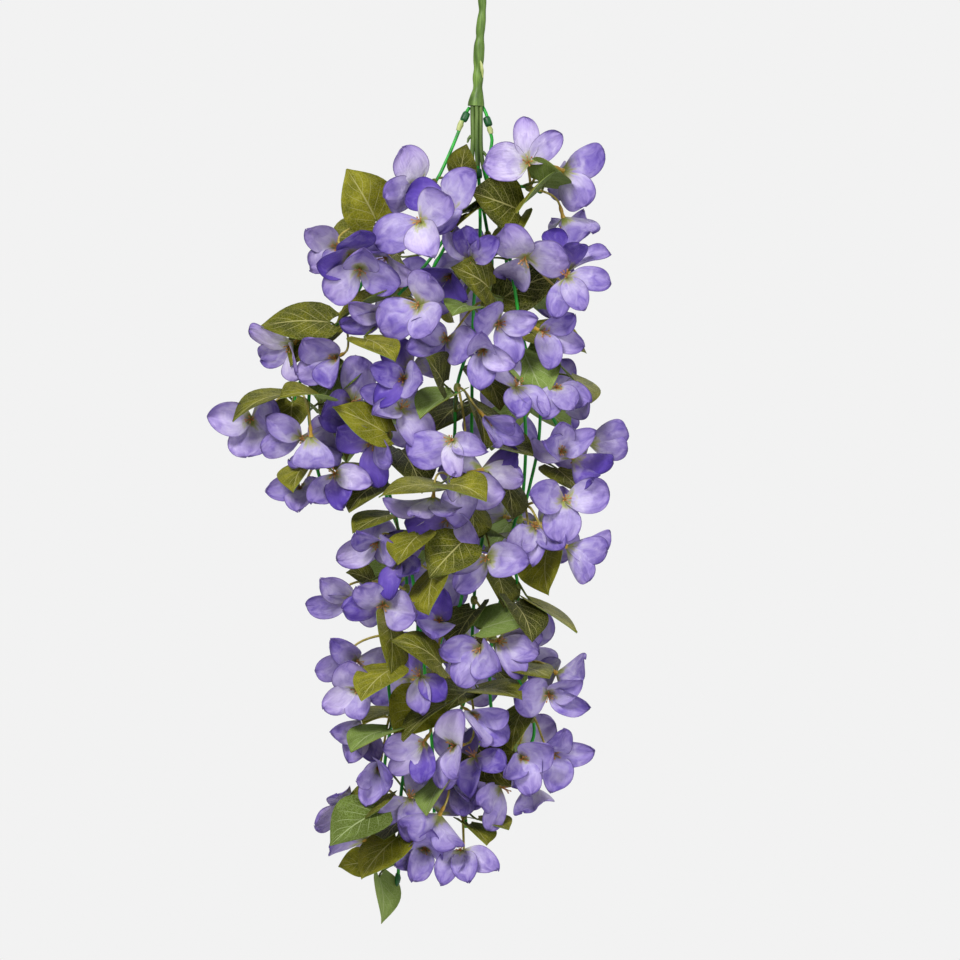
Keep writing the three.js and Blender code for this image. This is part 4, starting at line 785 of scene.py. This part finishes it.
# A smooth value from a table of (share, value)
def tableValue(table, share):
    for k in range(len(table) - 1):
        if share <= table[k + 1][0] or k == len(table) - 2:
            break
    (s0, v0), (s1, v1) = table[k], table[k + 1]
    before = table[k - 1] if k else (s0 - (s1 - s0), v0)
    after = table[k + 2] if k + 2 < len(table) else (s1 + (s1 - s0), v1)
    t = (share - s0) / (s1 - s0)
    m0 = (v1 - before[1]) / (s1 - before[0]) * (s1 - s0)
    m1 = (after[1] - v0) / (after[0] - s0) * (s1 - s0)
    return ((2 * t ** 3 - 3 * t ** 2 + 1) * v0 + (t ** 3 - 2 * t ** 2 + t) * m0
            + (-2 * t ** 3 + 3 * t ** 2) * v1 + (t ** 3 - t ** 2) * m1)


bractShape = {
    "columns": 10, "rows": 12,
    "halfWidth": [(0, 0.13), (0.08, 0.34), (0.2, 0.66), (0.35, 0.9), (0.52, 1), (0.7, 0.96), (0.83, 0.82),
                  (0.92, 0.61), (0.975, 0.36), (1, 0.06)],
    "rowCrowding": 1.6,  # draws the rows together toward the tip, which keeps it round
    "baseDroop": 0,
    "longer": 1.02,
    "wider": 1.06,
    "leastWidth": 28,
    "cloth": 0.45,  # thickness
    "form": {  # ranges that each bract's own form is drawn from
        "fan": (-0.1, 0.32), "cup": (0, 0.55), "keel": (-0.24, 0.2), "dome": (0.02, 0.13),
        "curl": (-0.2, 0.1), "wave": (1, 4.4), "ripple": (0.3, 1.3), "phase": (0, 6.3),
        "lean": (-0.07, 0.07),
    },
    "tones": {"p": 0.06, "m": 0.5, "d": 0.97},
    "toneSpread": 0.18,
    "sides": (0, 0),  # slots of its face and its back
}
leafShape = {
    "columns": 8, "rows": 12,
    "halfWidth": [(0, 0.34), (0.06, 0.68), (0.16, 0.93), (0.28, 1), (0.43, 0.97), (0.6, 0.8), (0.74, 0.57),
                  (0.86, 0.32), (0.94, 0.14), (1, 0.02)],
    "rowCrowding": 1.15,
    "baseDroop": 0.16,  # how far the lobes reach back past the petiole
    "longer": 1.04,
    "wider": 1.22,
    "leastWidth": 10,
    "cloth": 0.45,
    "form": {
        "fan": (-0.05, 0.05), "cup": (-0.12, 0.12), "keel": (0.05, 0.28), "dome": (0.02, 0.08),
        "curl": (-0.16, 0), "wave": (0.4, 2), "ripple": (0.1, 0.6), "phase": (0, 6.3),
        "lean": (-0.08, 0.08),
    },
    "tones": {"a": 0.05, "b": 0.15, "c": 0.2, "d": 0.35, "e": 0.48, "f": 0.52, "g": 0.62},
    "toneSpread": 0.12,
    "sides": (0, 1),
}
creaseAngle = 0.9  # edges that turn more than this stay sharp
chance = random.Random(4)


# One cloth blade, pressed into a cup with a keel, a curled tip and a waved margin
def addBlade(bm, blade, shape):
    form = {name: chance.uniform(*span) for name, span in shape["form"].items()}
    spread = shape["toneSpread"]
    tone = shape["tones"][blade["tone"].lower()] + chance.uniform(-spread, spread)
    vary = chance.random()
    sides = shape["sides"][::-1] if blade["tone"].isupper() else shape["sides"]
    known = set(bm.faces)
    uvLayer = bm.loops.layers.uv["bladeMap"]
    toneLayer = bm.verts.layers.float["tone"]
    varyLayer = bm.verts.layers.float["vary"]
    grid = bmesh.ops.create_grid(bm, x_segments=shape["columns"], y_segments=shape["rows"], size=1)
    side = blade["face"].cross(blade["along"])
    sheet = [face for face in bm.faces if face not in known]
    for vert in grid["verts"]:
        vert.co.y = 1 - ((1 - vert.co.y) / 2) ** shape["rowCrowding"]
        vert[toneLayer] = tone
        vert[varyLayer] = vary
        for loop in vert.link_loops:
            loop[uvLayer].uv = ((vert.co.x + 1) / 2, vert.co.y)
    length = blade["length"] * shape["longer"]
    half = max(blade["width"], shape["leastWidth"]) * shape["wider"] / 2
    for vert in grid["verts"]:
        x, u, _ = vert.co
        wide = half * tableValue(shape["halfWidth"], u) * (1 + form["fan"] * (u - 0.5))
        advance = length * (u - shape["baseDroop"] * (1 - u) ** 4 * x * x)
        wave = form["wave"] * u * x * x * math.sin(form["phase"] + u * 6 + (2.4 if x > 0 else 0))
        ripple = form["ripple"] * u * math.sin(form["phase"] * 3 + x * 7 + u * 5)
        bow = form["dome"] * math.sin(math.pi * u) + form["curl"] * u * u
        lift = (form["cup"] * x * x + form["keel"] * abs(x)) * wide + length * bow + wave + ripple
        inward = 1 - 0.35 * abs(form["cup"]) * x * x  # a margin that rises also comes in
        vert.co = (blade["root"] + blade["along"] * advance + blade["face"] * lift
                   + side * (x * wide * inward + form["lean"] * length * u * u))
    back = bmesh.ops.extrude_face_region(bm, geom=sheet)["geom"]
    back = [item for item in back if isinstance(item, bmesh.types.BMVert)]
    bmesh.ops.translate(bm, verts=back, vec=blade["face"] * -shape["cloth"])
    shell = [face for face in bm.faces if face not in known]
    bmesh.ops.recalc_face_normals(bm, faces=shell)
    for face in shell:
        face.smooth = True
        face.material_index = sides[face.normal.dot(blade["face"]) < 0]
    for edge in {edge for face in shell for edge in face.edges}:
        if edge.is_manifold and edge.calc_face_angle() > creaseAngle:
            edge.smooth = False


# Tubes through points as one mesh, in millimetres
def addTubes(bm, lines, resolution, materialIndex=0):
    curve = bpy.data.curves.new("tubes", "CURVE")
    curve.dimensions = "3D"
    curve.bevel_depth = 1
    curve.bevel_resolution = resolution
    curve.use_fill_caps = True
    for points, radii in lines:
        spline = curve.splines.new("POLY")
        spline.points.add(len(points) - 1)
        for target, point, radius in zip(spline.points, points, radii):
            target.co = (*point, 1)
            target.radius = radius
    holder = bpy.data.objects.new("tubes", curve)
    mesh = bpy.data.meshes.new_from_object(holder)
    known = set(bm.faces)
    bm.from_mesh(mesh)
    for face in bm.faces:
        if face not in known:
            face.material_index = materialIndex
            face.smooth = len(face.verts) == 4
    bpy.data.objects.remove(holder)
    bpy.data.curves.remove(curve)
    bpy.data.meshes.remove(mesh)


# Makes the mesh an object in metres, with its materials, its body and the CAD nodes it stands for
def finishPiece(bm, name, slots, nodes):
    bmesh.ops.transform(bm, matrix=Matrix.Scale(millimetre, 4), verts=bm.verts[:])
    mesh = bpy.data.meshes.new(name)
    bm.to_mesh(mesh)
    bm.free()
    for slot in slots:
        mesh.materials.append(materials[slot])
    piece = bpy.data.objects.new(name, mesh)
    scene.collection.objects.link(piece)
    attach(piece, "root")
    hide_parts(*nodes)


# An empty mesh with the map and the two tones that the cloth materials read
def newBlades():
    bm = bmesh.new()
    bm.loops.layers.uv.new("bladeMap")
    bm.verts.layers.float.new("tone")
    bm.verts.layers.float.new("vary")
    return bm


for bunch, rows in madeBlooms.items():
    bm = newBlades()
    for bloom in rows:
        for bract in bloom["bracts"]:
            addBlade(bm, bract, bractShape)
    finishPiece(bm, "bracts_" + bunch, ["bract"], ["bunch_" + bunch])
print("bracts made")


stalkLook = {
    "hub": [(-4.4, 1.9), (-3.2, 3.1), (-1, 3.6), (1, 3.5), (3, 2.9), (4.4, 1.9)],  # reach, radius
    "steps": 9,
    "radius": (1.5, -0.9, 0.6),  # factors for archTube
    "calyxRadii": [1.2, 1.7, 2.1, 2.0, 1.7, 2.1, 2.6],
    "stamens": 6,
    "stamenRise": (7, 11),
    "stamenReach": (2.5, 5.5),
    "stamenRadii": [0.5, 0.4, 0.35],
    "antherRadii": [0.5, 0.95, 0.4],
}


# A tube along an arch: its radius is the sum of the factors times powers of the share of the way
def archTube(arch, steps, factors):
    shares = [k / steps for k in range(steps + 1)]
    return ([bezier(arch, t) for t in shares],
            [sum(factor * t ** power for power, factor in enumerate(factors)) for t in shares])


# A tube along a strand from stations of (reach, radius) about its middle
def collar(middle, way, stations):
    return [middle + way * reach for reach, _ in stations], [radius for _, radius in stations]


# Hub, flower stalks, calyxes and stamens of each bunch
for bunch, rows in madeBlooms.items():
    bm = bmesh.new()
    stalks, calyxes, filaments, anthers = [], [], [], []
    for bloom in rows:
        centre, axis, arch = bloom["centre"], bloom["axis"], bloom["arch"]
        stalks.append(archTube(arch, stalkLook["steps"], stalkLook["radius"]))
        radii = stalkLook["calyxRadii"]
        rises = [stalkForm["calyxLength"] * k / (len(radii) - 1) for k in range(len(radii))]
        calyxes.append(([arch[3] + axis * rise for rise in rises], radii))
        first = axis.orthogonal().normalized()
        for k in range(stalkLook["stamens"]):
            out = turned(first, axis, k * 2 * math.pi / stalkLook["stamens"] + chance.uniform(-0.3, 0.3))
            reach = chance.uniform(*stalkLook["stamenReach"])
            rise = chance.uniform(*stalkLook["stamenRise"])
            tip = centre + axis * rise + out * reach
            bend = centre + axis * (rise * 0.6) + out * (reach * 0.35)
            filaments.append(([centre, bend, tip], stalkLook["stamenRadii"]))
            end = (tip - bend).normalized()
            anthers.append(([tip - end * 0.6, tip, tip + end * 1.4], stalkLook["antherRadii"]))
    addTubes(bm, [collar(*nearest(*beads[bunch]), stalkLook["hub"])], 3, 1)
    addTubes(bm, stalks, 2)
    addTubes(bm, calyxes, 2, 3)
    addTubes(bm, filaments, 0, 2)
    addTubes(bm, anthers, 1, 2)
    finishPiece(bm, "stalks_" + bunch, ["stalk", "hub", "stamen", "calyx"], ["bunch_" + bunch])
print("stalks made")


petioleLook = {"steps": 6, "radius": (1.3, -0.4), "rise": 1.5, "lead": 2}

# Leaves of each strand, with their petioles
for strand, rows in madeLeaves.items():
    bm = newBlades()
    petioles = []
    for leaf in rows:
        addBlade(bm, leaf, leafShape)
        seat, neck, root = leaf["petiole"]
        lead = leaf["along"] * petioleLook["lead"]
        arch = [seat, seat.lerp(neck, 0.4) + up * petioleLook["rise"], neck - lead, root + lead]
        petioles.append(archTube(arch, petioleLook["steps"], petioleLook["radius"]))
    addTubes(bm, petioles, 2, 2)
    finishPiece(bm, "leaves_" + strand, ["leafUpper", "leafUnder", "petiole"], ["strand_" + strand])
print("leaves made")


wireLook = {
    "radius": 1.7,
    "bundleRadius": 2.15,  # of a strand in the tight bundle under the stem
    "bundleDrops": (152, 176),  # between these a strand thins
    "bundleEnd": 0.6,  # share of the way between them where its bare wire begins
    "step": 4,
}
# Small fittings of the strands: its material, then across, depth, drop and radius along it
fittings = {
    "left": [("stub", [(-18.4, -3.8, 121, 2.2), (-19.4, -4.2, 125, 3.1), (-21.8, -4.8, 131, 2.3)])],
    "right": [("stub", [(9, -3, 127, 2.3), (10, -3.4, 130, 3), (11.2, -3.8, 134, 2.2)])],
    "inner_right": [("stub", [(33, -12, 541, 2.2), (33, -12.2, 545, 2.6), (33, -12.4, 549, 2)]),
                    ("bundle", [(3, -5, 152, 1.6), (5.6, -6, 155, 1.5), (7.4, -6.4, 159, 0.8)])],
    "inner_left": [("bundle", [(-9, -4, 136, 1.6), (-11.4, -5, 139, 1.5), (-12.6, -5.4, 143, 0.8)])],
    "middle": [("sleeve", [(-82, -16, 872, 2), (-82, -16, 877, 3.2), (-82.4, -16, 881, 2.6),
                           (-83, -16, 885, 1)])],
}


def placed(stations):
    return [at(*station[:3]) for station in stations], [station[3] for station in stations]


# Strands, sleeves and stem
for strand, routes in strandRoutes.items():
    bm = bmesh.new()
    upper, lower = [], []
    bundled = strand not in ("left", "right")
    for route in routes:
        points = spaced(routeCurve(route), wireLook["step"])
        drops = [-point.z - stalkForm["stemLead"] for point in points]
        start, end = wireLook["bundleDrops"]
        shares = [min(1, max(0, (drop - start) / (end - start))) if bundled else 1 for drop in drops]
        radii = [wireLook["bundleRadius"] * (1 - s) + wireLook["radius"] * s for s in shares]
        split = sum(share < wireLook["bundleEnd"] for share in shares)
        if split:
            upper.append((points[:split + 1], radii[:split + 1]))
        lower.append((points[split:], radii[split:]))
    addTubes(bm, lower, 3)
    addTubes(bm, upper, 3, 1)
    for index, (slot, stations) in enumerate(fittings.get(strand, [])):
        addTubes(bm, [placed(stations)], 3, 2 + index)
    slots = ["wire", "bundle"] + [slot for slot, _ in fittings.get(strand, [])]
    finishPiece(bm, "wire_" + strand, slots, ["strand_" + strand])

sleeveStations = [(-5, 2.4), (-4.6, 3.4), (-3, 3.8), (0, 3.9), (3, 3.8), (4.6, 3.4), (5, 2.4)]
for name, (strand, *place) in sleeves.items():
    bm = bmesh.new()
    addTubes(bm, [collar(*nearest(strand, at(*place)), sleeveStations)], 4)
    finishPiece(bm, "moulded_sleeve_" + name, ["sleeve"], ["sleeve_" + name])

stemLook = {
    "steps": 120,
    "softenOver": 3,  # steps to each side that the radius is averaged over
    "scar": [(0.4, -4.6, 61, 0.5), (1.4, -5, 65, 1.5), (2.2, -5, 71, 1.7), (2.8, -4.4, 78, 0.5)],
}
bm = bmesh.new()
first, last = stemRings[0][1], stemRings[-1][1]
drops = [first + (last - first) * k / stemLook["steps"] for k in range(stemLook["steps"] + 1)]
centres = [(drop, across) for across, drop, _ in stemRings]
widths = [(drop, radius) for _, drop, radius in stemRings]
points = [at(tableValue(centres, drop), 0, drop) for drop in drops]
radii = [tableValue(widths, drop) for drop in drops]
over = stemLook["softenOver"]
spans = [radii[max(0, k - over):k + over + 1] for k in range(len(radii))]
addTubes(bm, [(points, [sum(span) / len(span) for span in spans])], 6)
addTubes(bm, [placed(stemLook["scar"])], 3, 1)
finishPiece(bm, "cane_stem", ["stem", "stub"], ["main_stem"])
print("strands, sleeves and stem made")


# Pale floor, soft light and the camera
studio = {
    "background": "#F2F2F2", "floorDrop": -1.3, "floorRadius": 2.4, "cameraDistance": 6.0,
    "viewHeight": -0.510, "seenWidth": 0.96, "skyLight": 0.46,
    "lights": {  # place, size in metres and watts
        "key": ((-1.4, -3.0, 1.9), 1.4, 120),
        "fill": ((2.4, -3.0, 0.2), 2.2, 42),
        "rim": ((0.6, 2.6, 1.2), 1.8, 30),
    },
}
floorMesh = bpy.data.meshes.new("floor")
bm = bmesh.new()
bmesh.ops.create_circle(bm, cap_ends=True, segments=96, radius=studio["floorRadius"])
bmesh.ops.translate(bm, verts=bm.verts[:], vec=(0, 0, studio["floorDrop"]))
bm.to_mesh(floorMesh)
bm.free()
floor = bpy.data.objects.new("floor", floorMesh)
scene.collection.objects.link(floor)

# Painted board, rolled matt: it fades into the background before its edge
material, tree = newMaterial("painted studio board")
place = addNode(tree, "TexCoord").outputs["Object"]
flat = addNode(tree, "VectorMath MULTIPLY", [place, (1, 1, 0)])
reach = addNode(tree, "VectorMath LENGTH", [flat]).outputs[1]
cover = addNode(tree, "MapRange SMOOTHSTEP", [reach, 2.35, 0.7])
board = {"Base Color": linearColour("#EDEDED"), "Roughness": 0.9, "Alpha": cover}
floorMesh.materials.append(finishMaterial(material, board))

world = bpy.data.worlds.new("studio")
scene.world = world
world.use_nodes = True
tree = world.node_tree
tree.nodes.clear()
seen = addNode(tree, "LightPath").outputs["Is Camera Ray"]
strength = addNode(tree, "Math MULTIPLY_ADD", [seen, 1 - studio["skyLight"], studio["skyLight"]])
sky = addNode(tree, "Background", {"Color": linearColour(studio["background"]), "Strength": strength})
addNode(tree, "OutputWorld", {"Surface": sky})

for name, (place, size, power) in studio["lights"].items():
    light = bpy.data.lights.new(name, "AREA")
    light.shape = "DISK"
    light.size = size
    light.energy = power
    holder = bpy.data.objects.new(name, light)
    holder.location = place
    holder.rotation_mode = "QUATERNION"
    holder.rotation_quaternion = (Vector((0, 0, -0.5)) - Vector(place)).to_track_quat("-Z", "Y")
    scene.collection.objects.link(holder)

camera = bpy.data.objects.new("camera", bpy.data.cameras.new("camera"))
camera.data.lens = 36 * studio["cameraDistance"] / studio["seenWidth"]
camera.data.sensor_width = 36
camera.data.clip_end = 50
camera.location = (0, -studio["cameraDistance"], studio["viewHeight"])
camera.rotation_euler = (math.pi / 2, 0, 0)
scene.collection.objects.link(camera)
scene.camera = camera
scene.view_settings.view_transform = "Standard"

print("studio made")
